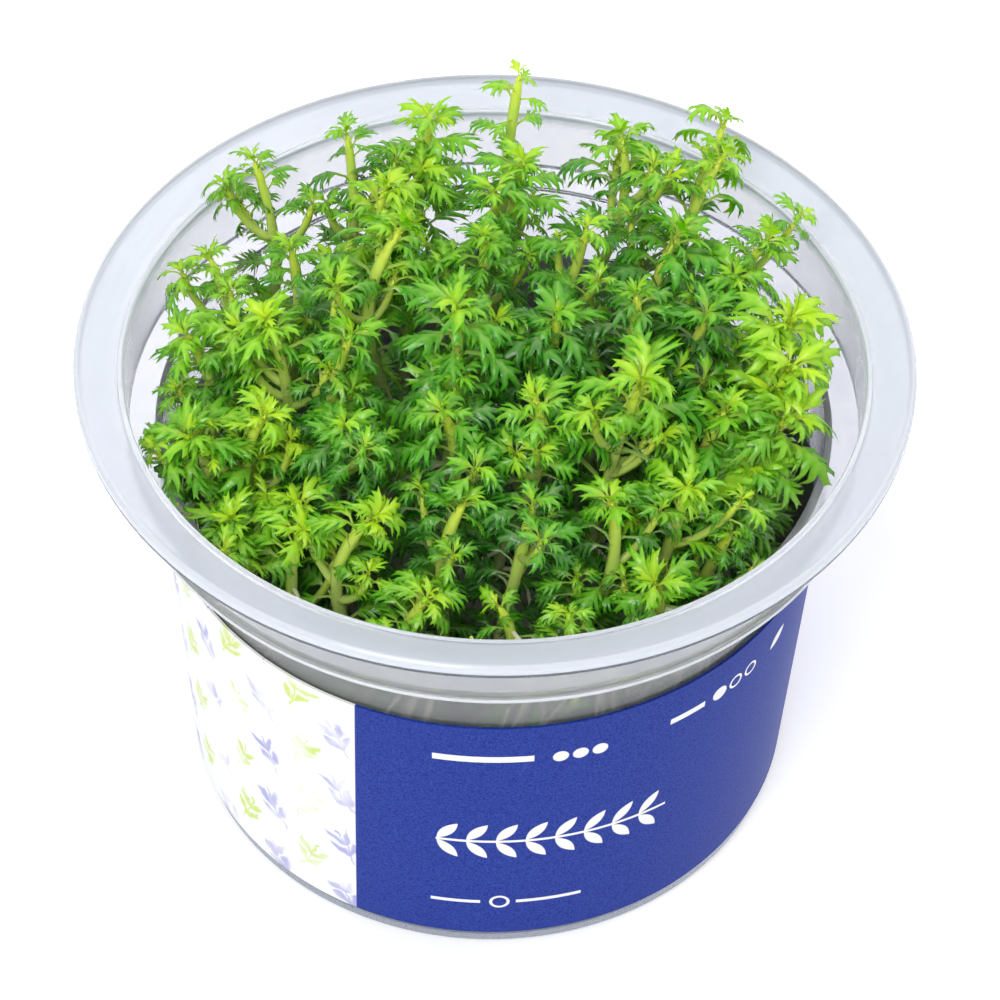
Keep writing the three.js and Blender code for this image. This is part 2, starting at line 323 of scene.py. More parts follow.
@dataclass(frozen=True)
class PrintedPaper:
    """Uncoated label paper, offset printed: a deep blue ground, a white panel and white marks.

    It is matt, with an IOR of 1.5, and its fibres, about 0.1 mm apart, are drawn 0.25 mm apart.
    """

    radius: float = 40.0
    panel_from: float = -103.0
    panel_to: float = -23.2
    panel_slant: float = -1.8
    fibre: float = 0.25
    wash_size: float = 6.0
    blue_low: str = "#13267A"
    blue_high: str = "#2F469C"
    white: str = "#E8E8E5"
    leaf: str = "#C6D97C"
    wash: str = "#A9A9D2"
    cell: float = 11.0

    # The marks on the blue ground. Each starts with its angle from the front and its height. A bar adds half
    # its length as an angle and half its width, and a round mark adds its radius.
    bars: tuple[tuple[float, ...], ...] = (
        (12.5, 22.4, 21.0, 0.22), (-0.5, 39.2, 8.5, 0.55), (36.0, 39.2, 3.6, 0.5), (-5.0, 9.4, 4.5, 0.3),
        (12.0, 9.4, 6.0, 0.3),
    )
    dots: tuple[tuple[float, ...], ...] = (
        *((12.5 + 3.4 * step, 39.0, 0.95) for step in range(3)), (43.0, 39.3, 1.1),
    )
    rings: tuple[tuple[float, ...], ...] = (
        *((43.0 + 3.9 * step, 39.3, 1.1) for step in (1, 2)), (3.0, 9.4, 1.3),
    )

    def length(self, degrees: float) -> float:
        """Returns the length along the label, in millimetres, of an angle from the front."""
        return math.radians(degrees) * self.radius

    def white_stamps(self) -> list[Stamp]:
        """Returns the marks on the blue ground: a sprig, bars, dots and rings."""
        stamps = [Stamp(Mark.BAR, self.length(angle), height, self.length(half), width)
                  for angle, height, half, width in self.bars]
        for mark, places in ((Mark.DOT, self.dots), (Mark.RING, self.rings)):
            stamps += [Stamp(mark, self.length(angle), height, size, size) for angle, height, size in places]
        for pair in range(8):
            for height, turn in ((24.2, 52), (20.6, -52)):
                stamps.append(Stamp(Mark.LEAF, self.length(-6.5 + 5.2 * pair), height, 2.1, 0.75, turn))
        return [*stamps, Stamp(Mark.LEAF, self.length(59.0), 39.6, 1.8, 0.8, 35)]

    def sprig(self, tree: NodeTree, place: Node, shift: Span, turn: float) -> Node:
        """Adds a soft sprig, of a stalk and four leaves, that repeats over the white panel.

        Args:
            tree: The label's node tree.
            place: The place on the label, in millimetres.
            shift: How far the repeat is moved, in millimetres.
            turn: How far the sprig is turned, in degrees.

        Returns:
            The sprigs' mask.
        """
        moved = add(tree, "VectorMath", {0: place, 1: (*shift, 0.0)}, operation="ADD")
        half = self.cell / 2
        tile = add(tree, "VectorMath", {0: moved, 1: (half, half, 1.0), 2: (-half, -half, -1.0)},
                   operation="WRAP")
        masks = [Stamp(Mark.BAR, 0.0, 0.0, 3.4, 0.12, turn).mask(tree, tile, 0.5)]
        for lean in (-34, 34):
            side = math.radians(turn + 90 * math.copysign(1, lean))
            for along in (-0.6, 1.6):
                u = along * math.cos(math.radians(turn)) + 0.9 * math.cos(side)
                v = along * math.sin(math.radians(turn)) + 0.9 * math.sin(side)
                masks.append(Stamp(Mark.LEAF, u, v, 1.7, 0.55, turn + lean).mask(tree, tile, 0.35))
        return union(tree, masks)

    def build(self) -> Material:
        """Returns the printed side's material."""
        material, tree, place = new_material("printed_label_paper")
        xyz = add(tree, "SeparateXYZ", {0: place})
        back = add(tree, "Math", {0: xyz.outputs["Y"], 1: -1.0}, operation="MULTIPLY")
        turn = add(tree, "Math", {0: xyz.outputs["X"], 1: back}, operation="ARCTAN2")
        u = add(tree, "Math", {0: turn, 1: self.radius}, operation="MULTIPLY")
        v = add(tree, "Math", {0: xyz.outputs["Z"], 1: 1 / MM}, operation="MULTIPLY")
        flat = add(tree, "CombineXYZ", {"X": u, "Y": v})

        fibre = add(tree, "TexNoise", {
            "Vector": place, "Scale": 1 / (self.fibre * MM), "Detail": 3.0, "Roughness": 0.6,
        })
        cloud = add(tree, "TexNoise", {"Vector": place, "Scale": 1 / (self.wash_size * MM), "Detail": 3.0})
        ground = add(tree, "ValToRGB", {"Fac": fibre}, ((0.36, self.blue_low), (0.66, self.blue_high)))
        marks = union(tree, [stamp.mask(tree, flat) for stamp in self.white_stamps()])
        printed = add(tree, "Mix", {0: marks, 6: ground, 7: self.white}, data_type="RGBA")

        # The sprigs' outlines wander by up to 1.5 mm, and their paint thins out in clouds.
        ragged = add(tree, "TexNoise", {"Vector": flat, "Scale": 0.35, "Detail": 2.0}).outputs["Color"]
        loose = add(tree, "VectorMath", {0: ragged, 1: (3.0, 3.0, 0.0), 2: flat}, operation="MULTIPLY_ADD")
        paint = add(tree, "MapRange", {"Value": cloud, "From Min": 0.35, "From Max": 0.6})
        panel = self.white
        half = self.cell / 2
        for colour, shift, lean in ((self.leaf, (0.0, 0.0), 68.0), (self.wash, (half, half), 115.0)):
            sprig = self.sprig(tree, loose, shift, lean)
            share = add(tree, "Math", {0: sprig, 1: paint}, operation="MULTIPLY")
            panel = add(tree, "Mix", {0: share, 6: panel, 7: colour}, data_type="RGBA")

        middle = self.length((self.panel_from + self.panel_to) / 2)
        half_panel = self.length((self.panel_to - self.panel_from) / 2)
        on_panel = Stamp(Mark.BAR, middle, 24.0, half_panel, 60.0, self.panel_slant).mask(tree, flat, 0.001)
        colour = add(tree, "Mix", {0: on_panel, 6: printed, 7: panel}, data_type="RGBA")
        finish_surface(tree, {
            "Base Color": colour, "IOR": 1.5, "Specular IOR Level": 0.1,
            "Roughness": add(tree, "MapRange", {"Value": fibre, "To Min": 0.5, "To Max": 0.68}),
            "Sheen Weight": 0.12, "Sheen Roughness": 0.3,
            "Normal": add(tree, "Bump", {"Height": fibre, "Strength": 0.25, "Distance": 0.04 * MM}),
        })
        return material


@dataclass(frozen=True)
class BarePaper:
    """The label's unprinted back: white pulp paper, matt, with cloudy fibre bunches about 1 mm across."""

    clump: float = 1.0
    shades: Stops = ((0.3, "#D5D6DE"), (0.7, "#E6E6EC"))

    def build(self) -> Material:
        """Returns the unprinted side's material."""
        material, tree, place = new_material("unprinted_label_paper")
        pulp = add(tree, "TexNoise", {"Vector": place, "Scale": 1 / (self.clump * MM), "Detail": 4.0})
        finish_surface(tree, {
            "Base Color": add(tree, "ValToRGB", {"Fac": pulp}, self.shades), "Roughness": 0.85, "IOR": 1.5,
            "Normal": add(tree, "Bump", {"Height": pulp, "Strength": 0.2, "Distance": 0.05 * MM}),
        })
        return material


@dataclass(frozen=True)
class AgarGel:
    """Nutrient agar: a wet, cloudy gel of IOR 1.34, with haze in lumps of about 4 mm and fine specks."""

    haze: float = 4.0
    speck: float = 0.9
    shades: Stops = ((0.3, "#8E9078"), (0.7, "#B9B9A2"))
    speck_tint: str = "#6E6A4C"

    def build(self) -> Material:
        """Returns the gel's material."""
        material, tree, place = new_material("nutrient_agar")
        haze = add(tree, "TexNoise", {"Vector": place, "Scale": 1 / (self.haze * MM), "Detail": 4.0})
        speck = add(tree, "TexVoronoi", {"Vector": place, "Scale": 1 / (self.speck * MM)})
        cloudy = add(tree, "ValToRGB", {"Fac": haze}, self.shades)
        dots = add(tree, "MapRange", {
            "Value": speck.outputs["Distance"], "From Min": 0.12, "From Max": 0.2, "To Min": 0.35,
        })
        finish_surface(tree, {
            "Base Color": add(tree, "Mix", {0: dots, 6: self.speck_tint, 7: cloudy}, data_type="RGBA"),
            "Roughness": 0.12, "IOR": 1.34, "Transmission Weight": 0.45,
            "Normal": add(tree, "Bump", {"Height": haze, "Strength": 0.5, "Distance": 0.8 * MM}),
        })
        return material


@dataclass(frozen=True)
class Foliage:
    """Living featherfoil: thin, moist leaves that light shines through, and thick pale stems.

    The mesh's tissue attribute says, at each point, how much of it is vein or stem (red), how young it is,
    with painted light on leaves by the cup's wall and painted shade on those further in (green), a chance
    value for its leaf (blue) and how bronzed it is (alpha). Leaf wax gives a satin gloss at an IOR of 1.42.
    Cell clumps, under 0.1 mm in the real leaf, are drawn 0.5 mm across.
    """

    clump: float = 0.5
    patch: float = 5.0
    swing: float = 0.16
    mottle: float = 0.07
    blade: Stops = ((0.0, "#166A06"), (0.3, "#389E08"), (0.6, "#72C60E"), (1.0, "#AAE01E"))
    stalk: Stops = ((0.0, "#EAEAC4"), (0.2, "#C4DA7C"), (0.5, "#CBE662"), (1.0, "#DCF23C"))
    bronze: str = "#7A7A2A"

    def build(self) -> Material:
        """Returns the plantlets' material."""
        material, tree, place = new_material("featherfoil_leaf_and_stem")
        tissue = add(tree, "Attribute", attribute_name="tissue", attribute_type="GEOMETRY")
        vein, youth, chance = add(tree, "SeparateColor", {0: tissue.outputs["Color"]}).outputs
        cells, patches = (
            add(tree, "TexNoise", {"Vector": place, "Scale": 1 / (size * MM), "Detail": 2.0})
            for size in (self.clump, self.patch)
        )
        shifts = add(tree, "Math", {0: chance, 1: patches}, operation="ADD")
        swing, mottle = (
            add(tree, "MapRange", {
                "Value": value, "From Min": low, "From Max": high, "To Min": -most, "To Max": most,
            })
            for value, low, high, most in ((shifts, 0.4, 1.6, self.swing), (cells, 0.3, 0.7, self.mottle))
        )
        noise = add(tree, "Math", {0: swing, 1: mottle}, operation="ADD")
        age = add(tree, "Math", {0: youth, 1: noise}, operation="ADD", use_clamp=True)
        blade = add(tree, "ValToRGB", {"Fac": age}, self.blade)
        stalk = add(tree, "ValToRGB", {"Fac": age}, self.stalk)
        green = add(tree, "Mix", {0: vein, 6: blade, 7: stalk}, data_type="RGBA")
        bronzed = tissue.outputs["Alpha"]
        finish_surface(tree, {
            "Base Color": add(tree, "Mix", {0: bronzed, 6: green, 7: self.bronze}, data_type="RGBA"),
            "Roughness": add(tree, "MapRange", {"Value": cells, "To Min": 0.14, "To Max": 0.3}),
            "IOR": 1.42, "Specular IOR Level": 0.5,
            "Normal": add(tree, "Bump", {"Height": cells, "Strength": 0.6, "Distance": 0.12 * MM}),
            "Subsurface Weight": 0.3, "Subsurface Radius": (0.7, 1.0, 0.25), "Subsurface Scale": 1.0 * MM,
        })
        return material


@dataclass(frozen=True)
class StudioFloor:
    """A white acrylic light table, matt, lit softly from within, with a faint mottle about 20 mm across."""

    mottle: float = 20.0
    glow: float = 0.25
    shades: Stops = ((0.3, "#F6F6F8"), (0.7, "#FAFAFB"))
    glow_tint: str = "#FAFAFF"

    def build(self) -> Material:
        """Returns the floor's material."""
        material, tree, place = new_material("white_acrylic_light_table")
        cloud = add(tree, "TexNoise", {"Vector": place, "Scale": 1 / (self.mottle * MM)})
        finish_surface(tree, {
            "Base Color": add(tree, "ValToRGB", {"Fac": cloud}, self.shades), "Roughness": 0.9,
            "Emission Color": self.glow_tint, "Emission Strength": self.glow,
        })
        material.cycles.emission_sampling = "NONE"
        return material


def link_object(name: str, data: bpy.types.ID) -> Object:
    """Adds an object to the scene, and returns it."""
    thing = bpy.data.objects.new(name, data)
    bpy.context.scene.collection.objects.link(thing)
    return thing


def mesh_object(bm: BMesh, name: str, materials: Sequence[Material]) -> Object:
    """Adds a mesh to the scene as an object, and frees the bmesh.

    Args:
        bm: The bmesh.
        name: The object's name.
        materials: Its materials, in the order of its faces' material numbers.

    Returns:
        The new object.
    """
    mesh = bpy.data.meshes.new(name)
    bm.to_mesh(mesh)
    bm.free()
    for material in materials:
        mesh.materials.append(material)
    return link_object(name, mesh)


def finish_piece(bm: BMesh, name: str, materials: Sequence[Material], node: str) -> Object:
    """Makes a piece of a mesh built in millimetres, and has it stand for its node.

    Args:
        bm: The mesh. It is freed.
        name: The piece's name.
        materials: Its materials, in the order of its faces' material numbers.
        node: The node that it replaces.

    Returns:
        The new object.
    """
    bmesh.ops.scale(bm, vec=(MM, MM, MM), verts=bm.verts)
    piece = mesh_object(bm, name, materials)
    faces = piece.data.polygons
    faces.foreach_set("use_smooth", [True] * len(faces))
    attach(piece, BODY)
    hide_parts(node)
    LOG.info("%s: %d faces, stands for %s", name, len(faces), node)
    return piece


def turned(profile: Sequence[Span], segments: int) -> BMesh:
    """Turns a profile about the Z axis into one closed shell.

    Args:
        profile: Radius and height of each point, in millimetres. The first and last are on the axis.
        segments: How many steps the full turn has.

    Returns:
        The turned mesh, its faces pointing out.
    """
    bm = bmesh.new()
    verts = [bm.verts.new((radius, 0.0, height)) for radius, height in profile]
    edges = [bm.edges.new(pair) for pair in zip(verts, verts[1:])]
    bmesh.ops.spin(bm, geom=verts + edges, cent=(0, 0, 0), axis=(0, 0, 1), angle=math.tau, steps=segments,
                   use_merge=True)
    bmesh.ops.remove_doubles(bm, verts=bm.verts, dist=1e-4)
    bmesh.ops.recalc_face_normals(bm, faces=bm.faces)
    return bm


@dataclass
class Cup:
    """The moulded cup: foot ring, tapered wall, wider collar and dished rim, in one piece."""

    height: float = 67.0
    rim_radius: float = 50.0
    foot_ring: float = 2.6
    foot_rise: float = 1.0
    foot_round: float = 0.25
    floor_round: float = 1.0
    gate_ring: tuple[float, ...] = (6.0, 6.4, 7.0, 7.4)
    gate_depth: float = 0.25
    collar_radius: float = 45.1
    bead: float = 0.4
    bead_height: float = 0.8
    rim_dish: float = 1.9
    lip_height: float = 1.75
    lip_round: float = 0.4
    lip_bevel: float = 0.2
    mouth_bead: tuple[Span, ...] = ((0.6, 0.22), (0.4, 0.36), (0.1, 0.26))
    rounding: float = 0.18
    least_angle: float = 20.0
    segments: int = 144

    def profile(self) -> list[Span]:
        """Returns the cup's outline from the axis under the floor, round the rim and back to the axis."""
        floor = self.foot_rise + WALL
        ledge = wall_radius(STEP_HEIGHT)
        mouth = self.height - self.rim_dish
        inner = wall_radius(floor) - WALL
        gate = [0.0, self.gate_depth, self.gate_depth, 0.0]
        return [
            (0.0, self.foot_rise),
            *((radius, self.foot_rise - depth) for radius, depth in zip(self.gate_ring, gate)),
            (FOOT_RADIUS - self.foot_ring - self.foot_round, self.foot_rise),
            (FOOT_RADIUS - self.foot_ring, 0.0),
            (FOOT_RADIUS - self.foot_round, 0.0),
            (wall_radius(self.foot_round), self.foot_round),
            (ledge, STEP_HEIGHT),
            (self.collar_radius + self.bead, STEP_HEIGHT),
            (self.collar_radius + self.bead, STEP_HEIGHT + self.bead_height / 2),
            (self.collar_radius, STEP_HEIGHT + self.bead_height),
            (self.collar_radius, mouth - WALL),
            (self.rim_radius - self.lip_bevel, self.height - self.lip_height),
            (self.rim_radius, self.height - self.lip_height + self.lip_bevel),
            (self.rim_radius, self.height - self.lip_round),
            (self.rim_radius - self.lip_round, self.height),
            (self.rim_radius - 3 * self.lip_round, self.height - self.lip_round / 2),
            *((MOUTH_RADIUS + out, mouth + rise) for out, rise in self.mouth_bead),
            (MOUTH_RADIUS, mouth),
            (MOUTH_RADIUS - self.lip_round / 2, STEP_HEIGHT + WALL),
            (ledge - WALL, STEP_HEIGHT + WALL),
            (inner, floor + self.floor_round),
            (inner - self.floor_round, floor),
            (0.0, floor),
        ]

    def round_rings(self, bm: BMesh) -> None:
        """Rounds the circles where the turned mesh's faces meet at an angle."""
        limit = math.radians(self.least_angle)
        rings = [edge for edge in bm.edges if edge.calc_face_angle(0.0) > limit
                 and abs(edge.verts[0].co.z - edge.verts[1].co.z) < 1e-5]
        bmesh.ops.bevel(bm, geom=rings, offset=self.rounding, offset_type="OFFSET", segments=3, profile=0.5,
                        affect="EDGES", clamp_overlap=True, material=-1)

    def build(self, material: Material) -> Object:
        """Builds and dresses the cup. Its flats stay flat beside their small roundings.

        Args:
            material: Its plastic.

        Returns:
            The cup's object.
        """
        bm = turned(self.profile(), self.segments)
        self.round_rings(bm)
        piece = finish_piece(bm, "cup_shell", [material], "cup")
        piece.modifiers.new("flat_faces", "WEIGHTED_NORMAL").keep_sharp = True
        return piece


@dataclass
class Label:
    """The paper sleeve round the tapered wall. Its two ends meet at the back with a narrow gap."""

    bottom: float = 2.6
    top: float = 45.2
    clearance: float = 0.12
    paper: float = 0.32
    seam: float = 0.6
    sharp_angle: float = 40.0
    segments: int = 160

    def build(self, printed: Material, bare: Material) -> Object:
        """Builds and dresses the label.

        Args:
            printed: The material of its outer side and its edges; on the edges its dark blue is painted
                shade, a dark line along the label's top edge.
            bare: The material of its inner side.

        Returns:
            The label's object.
        """
        bm = bmesh.new()
        seam_angle = self.seam / wall_radius(self.top)
        ends = [bm.verts.new((0.0, wall_radius(height) + self.clearance + self.paper, height))
                for height in (self.bottom, self.top)]
        edge = bm.edges.new(ends)
        bmesh.ops.rotate(bm, verts=ends, cent=(0, 0, 0), matrix=Matrix.Rotation(seam_angle / 2, 3, "Z"))
        bmesh.ops.spin(bm, geom=[*ends, edge], cent=(0, 0, 0), axis=(0, 0, 1), angle=math.tau - seam_angle,
                       steps=self.segments)
        bmesh.ops.recalc_face_normals(bm, faces=bm.faces)
        outer = list(bm.faces)
        if outer[0].normal.dot(outer[0].calc_center_median()) < 0:
            bmesh.ops.reverse_faces(bm, faces=outer)
        bmesh.ops.solidify(bm, geom=outer, thickness=self.paper)
        # Only the inner side is bare paper; the cut edges take the printed side's dark blue as painted shade
        # along the label's top edge.
        for face in bm.faces:
            out = face.calc_center_median().xy.normalized()
            face.material_index = 1 if face.normal.xy.dot(out) < -0.5 else 0
        piece = finish_piece(bm, "label_sleeve", [printed, bare], "label")
        piece.data.set_sharp_from_angle(angle=math.radians(self.sharp_angle))
        return piece


@dataclass
class Gel:
    """The nutrient gel: a low block that climbs the wall a little at its edge and is lumpy on top."""

    floor: float = 2.2
    clearance: float = 0.15
    foot_round: float = 1.2
    meniscus: float = 0.8
    meniscus_width: float = 1.5
    lump: float = 0.35
    rings: int = 22
    segments: int = 96

    def profile(self) -> list[Span]:
        """Returns the gel's outline, with its top in rings close enough to be lumpy."""
        edge = wall_radius(GEL_TOP) - WALL - self.clearance
        foot = wall_radius(self.floor) - WALL - self.clearance
        flat = edge - self.meniscus_width
        return [
            (0.0, self.floor),
            (foot - self.foot_round, self.floor),
            (foot, self.floor + self.foot_round),
            (edge, GEL_TOP + self.meniscus),
            (edge - self.meniscus_width / 3, GEL_TOP + self.meniscus / 3),
            *((flat * ring / self.rings, GEL_TOP) for ring in range(self.rings, -1, -1)),
        ]

    def build(self, material: Material) -> Object:
        """Builds and dresses the gel.

        Args:
            material: Its agar.

        Returns:
            The gel's object.
        """
        bm = turned(self.profile(), self.segments)
        for vert in bm.verts:
            if vert.co.z > GEL_TOP - 0.01:
                # Swells about 15 mm long, crossed by ripples about 5 mm long.
                x, y = vert.co.x, vert.co.y
                vert.co.z += self.lump * (math.sin(0.45 * x + 1.3) * math.cos(0.38 * y)
                                          + 0.5 * math.sin(1.1 * x - 0.8 * y))
        return finish_piece(bm, "gel_block", [material], "gel")


@dataclass(frozen=True)
class LeafForm:
    """The flat outline of one kind of leaf, one unit long: a stalk, pairs of fingers and an end finger.

    Attributes:
        pairs: How many pairs of side fingers it has.
        stalk: The share of its length below the first finger.
        clasp: Half the width of its root, where it clasps the stem.
        stalk_width: Half the stalk's width.
        web_width: Half the width of the green strip that joins the fingers.
        finger: The longest side finger's length.
        end: The end finger's length.
        spread: How far the lowest fingers point away from the midrib, in degrees.
        forked: Whether each finger ends in two teeth.
    """

    # A finger's end, forked or round: how far its sides and middle reach at each step, and its width.
    TEETH = ((0.45, 0.5, 0.74), (1.0, 0.68, 0.92))
    ROUND_TIP = ((0.5, 0.56, 0.95), (0.9, 1.0, 0.5))
    # How proud the veins are, and what the stalk adds.
    RIDGE = 0.03
    STALK_RIDGE = 0.01

    pairs: int
    stalk: float
    clasp: float
    stalk_width: float
    web_width: float
    finger: float
    end: float
    spread: float
    forked: bool = True

    def rows(self) -> list[float]:
        """Returns the places of the outline's rows along the leaf, from its root to its end finger."""
        steps = 2 * self.pairs
        blade = [self.stalk + (1.0 - self.end - self.stalk) * step / steps for step in range(steps + 1)]
        return [0.0, self.stalk * 0.5, *blade]

    def half_width(self, place: float) -> float:
        """Returns half the width of the leaf's middle strip at a place along it."""
        if place < self.stalk * 0.5:
            return self.clasp
        if place <= self.stalk:
            return self.stalk_width
        share = (place - self.stalk) / (1.0 - self.end - self.stalk)
        web = math.sin(math.pi * (0.1 + 0.7 * share))
        return self.stalk_width + (self.web_width - self.stalk_width) * web

    def grow_finger(self, bm: BMesh, edges: list[BMEdge], way: Vector,
                    length: float) -> list[BMEdge]:
        """Draws a finger out of two neighbouring edges of the outline, with one round tip or two teeth.

        Args:
            bm: The flat leaf.
            edges: The two edges at the finger's root.
            way: The direction that it grows in.
            length: Its length.

        Returns:
            The edges along its middle.
        """
        across = Vector((-way.y, way.x, 0.0))
        rim = list({vert for edge in edges for vert in edge.verts})
        middle = sum((vert.co for vert in rim), Vector()) / 3
        half = max(abs((vert.co - middle).dot(across)) for vert in rim)
        ridge = []
        for side_reach, tip_reach, width in self.TEETH if self.forked else self.ROUND_TIP:
            last = sorted(rim, key=lambda vert: (vert.co - middle).dot(across))[1]
            grown = bmesh.ops.extrude_edge_only(bm, edges=edges)["geom"]
            edges = [item for item in grown if isinstance(item, BMEdge)]
            rim = [item for item in grown if isinstance(item, BMVert)]
            rim.sort(key=lambda vert: (vert.co - middle).dot(across))
            ridge.append(bm.edges.get((last, rim[1])))
            for vert, side in zip(rim, (-1, 0, 1)):
                reach = side_reach if side else tip_reach
                vert.co = middle + way * length * reach + across * side * half * width
        return ridge

    def grow_fingers(self, bm: BMesh) -> list[BMEdge]:
        """Draws every finger out of the leaf's middle strip, and returns the edges along the veins."""
        rows = self.rows()
        strip = {}
        for vert in bm.verts:
            row = min(range(len(rows)), key=lambda index: abs(rows[index] - vert.co.y))
            side = 0 if abs(vert.co.x) < 1e-6 else int(math.copysign(1, vert.co.x))
            strip[row, side] = vert
        veins = [bm.edges.get((strip[row, 0], strip[row + 1, 0])) for row in range(len(rows) - 1)]
        for pair in range(self.pairs):
            first = 2 + 2 * pair
            share = (pair + 0.5) / self.pairs
            lean = math.radians(self.spread * (1.0 - 0.5 * share))
            length = self.finger * (0.7 + 0.3 * math.sin(math.pi * share))
            for side in (-1, 1):
                edges = [bm.edges.get((strip[row, side], strip[row + 1, side]))
                         for row in (first, first + 1)]
                way = Vector((side * math.sin(lean), math.cos(lean), 0.0))
                veins += self.grow_finger(bm, edges, way, length)
        last = len(rows) - 1
        edges = [bm.edges.get((strip[last, side], strip[last, 0])) for side in (-1, 1)]
        return veins + self.grow_finger(bm, edges, Vector((0.0, 1.0, 0.0)), self.end)

    def draw(self) -> LeafShape:
        """Draws the leaf flat, with its fingers, and closes it with an underside.

        Returns:
            The finished shape.
        """
        bm = bmesh.new()
        rows = self.rows()
        bmesh.ops.create_grid(bm, x_segments=2, y_segments=len(rows) - 1, size=1.0)
        for vert in bm.verts:
            place = rows[round((vert.co.y + 1.0) / 2.0 * (len(rows) - 1))]
            vert.co = Vector((round(vert.co.x) * self.half_width(place), place, 0.0))
        veins = self.grow_fingers(bm)
        vein = bm.verts.layers.float.new("vein")
        ridges = list({vert for edge in veins for vert in edge.verts})
        for edge in bm.edges:
            edge.smooth = not edge.is_boundary
        bmesh.ops.recalc_face_normals(bm, faces=bm.faces)
        if sum(face.normal.z for face in bm.faces) < 0:
            bmesh.ops.reverse_faces(bm, faces=bm.faces)
        under = bmesh.ops.duplicate(bm, geom=bm.faces[:] + bm.edges[:] + bm.verts[:])
        bmesh.ops.reverse_faces(bm, faces=[item for item in under["geom"] if isinstance(item, BMFace)])
        for vert in ridges:
            vert[vein] = 0.6 - 0.3 * vert.co.y - 1.2 * abs(vert.co.x)
            if not vert.is_boundary:
                vert.co.z = self.RIDGE + self.STALK_RIDGE * (vert.co.y < self.stalk * 1.1)
        for vert in bm.verts:
            if vert.co.y < self.stalk * 1.05:
                vert[vein] = 1.0 - 0.3 * vert.co.y / self.stalk
        plain = [under["vert_map"][vert] for vert in ridges if not vert.is_boundary]
        bmesh.ops.dissolve_edges(bm, edges=[under["edge_map"][edge] for edge in veins])
        plain = [vert for vert in plain if vert.is_valid and len(vert.link_edges) == 2]
        bmesh.ops.dissolve_verts(bm, verts=plain)
        bmesh.ops.remove_doubles(bm, verts=bm.verts, dist=1e-5)
        veins_at = [max(vert[vein], 0.0) for vert in bm.verts]
        mesh = bpy.data.meshes.new("leaf_shape")
        bm.to_mesh(mesh)
        bm.free()
        return LeafShape(mesh, veins_at)


@dataclass(frozen=True)
class LeafShape:
    """A leaf's closed flat mesh, and how much of each of its vertices is vein or stalk, from 0 to 1."""

    mesh: bpy.types.Mesh
    veins: list[float]


class LeafKind(Enum):
    """The kinds of leaf, from a crown's middle outwards."""

    BUD = LeafForm(pairs=1, stalk=0.28, clasp=0.15, stalk_width=0.09, web_width=0.13, finger=0.36,
                   end=0.38, spread=40)
    YOUNG = LeafForm(pairs=2, stalk=0.34, clasp=0.12, stalk_width=0.055, web_width=0.075, finger=0.33,
                     end=0.3, spread=52)
    GROWN = LeafForm(pairs=3, stalk=0.36, clasp=0.1, stalk_width=0.04, web_width=0.06, finger=0.33,
                     end=0.26, spread=60)
    LONG = LeafForm(pairs=7, stalk=0.3, clasp=0.07, stalk_width=0.03, web_width=0.07, finger=0.13,
                    end=0.1, spread=58)


@dataclass(frozen=True)
class LeafPose:
    """How one leaf stands on its stem.

    Attributes:
        root: Where it leaves the stem's middle, in millimetres.
        stand: The turn from the cup's upright to the stem's own.
        heading: The angle that it grows towards, in radians.
        length: Its length along its midrib, in millimetres.
        lift: Its slope where it leaves the stem, in radians.
        droop: Its slope at its tip, in radians.
        fold: How strongly its sides arch down, in radians for each length.
        twist: How far it is rolled about its midrib at its tip, in radians.
        sweep: How far its tip is swept aside, as a share of its length.
    """

    root: Vector
    stand: Matrix
    heading: float
    length: float
    lift: float
    droop: float
    fold: float
    twist: float
    sweep: float = 0.0

    def spine(self, steps: int = 10) -> Spine:
        """Returns how far out and up the midrib is, and its slope, at even steps along it."""
        points = []
        out = rise = 0.0
        for step in range(steps + 1):
            slope = curve(self.lift, self.droop - self.lift, 1.3, step / steps)
            points.append((out, rise, slope))
            out += math.cos(slope) / steps
            rise += math.sin(slope) / steps
        return points

    def place(self, point: Vector, spine: Spine) -> Vector:
        """Places a point of the flat leaf.

        Args:
            point: The point, for a leaf one unit long.
            spine: The midrib's points.

        Returns:
            Where it is once the leaf is bent and stands on its stem, in millimetres.
        """
        steps = len(spine) - 1
        along = clamp(point.y) * steps
        first = min(int(along), steps - 1)
        out, rise, slope = (a + (b - a) * (along - first) for a, b in zip(spine[first], spine[first + 1]))
        angle = self.fold * point.x * min(point.y * 1.5, 1.0)
        side = math.sin(angle) / self.fold if angle else point.x
        drop = (1.0 - math.cos(angle)) / self.fold if angle else 0.0
        turn = self.twist * point.y + angle
        normal = Vector((-math.sin(slope), 0.0, math.cos(slope)))
        beside = Vector((0.0, -1.0, 0.0))
        flat = beside * (side * math.cos(self.twist * point.y) + self.sweep * point.y ** 2) - normal * drop
        flat += normal * (side * math.sin(self.twist * point.y))
        proud = (normal * math.cos(turn) + beside * math.sin(turn)) * point.z
        local = (Vector((out, 0.0, rise)) + flat + proud) * self.length
        return self.root + self.stand @ (Matrix.Rotation(self.heading, 3, "Z") @ local)


@dataclass(frozen=True)
class Growth:
    """How a shoot is set with leaves.

    Attributes:
        leaves: How many leaves it has.
        first_gap: The gap between its youngest leaves, in millimetres.
        last_gap: The gap between its oldest leaves, in millimetres.
        side_shoots: How many side shoots it has.
        low_leaves: How many stray leaves it has below the others.
        stem_radius: The radius of its stem below the tip, in millimetres.
    """

    leaves: int
    first_gap: float
    last_gap: float
    side_shoots: int
    low_leaves: int
    stem_radius: float


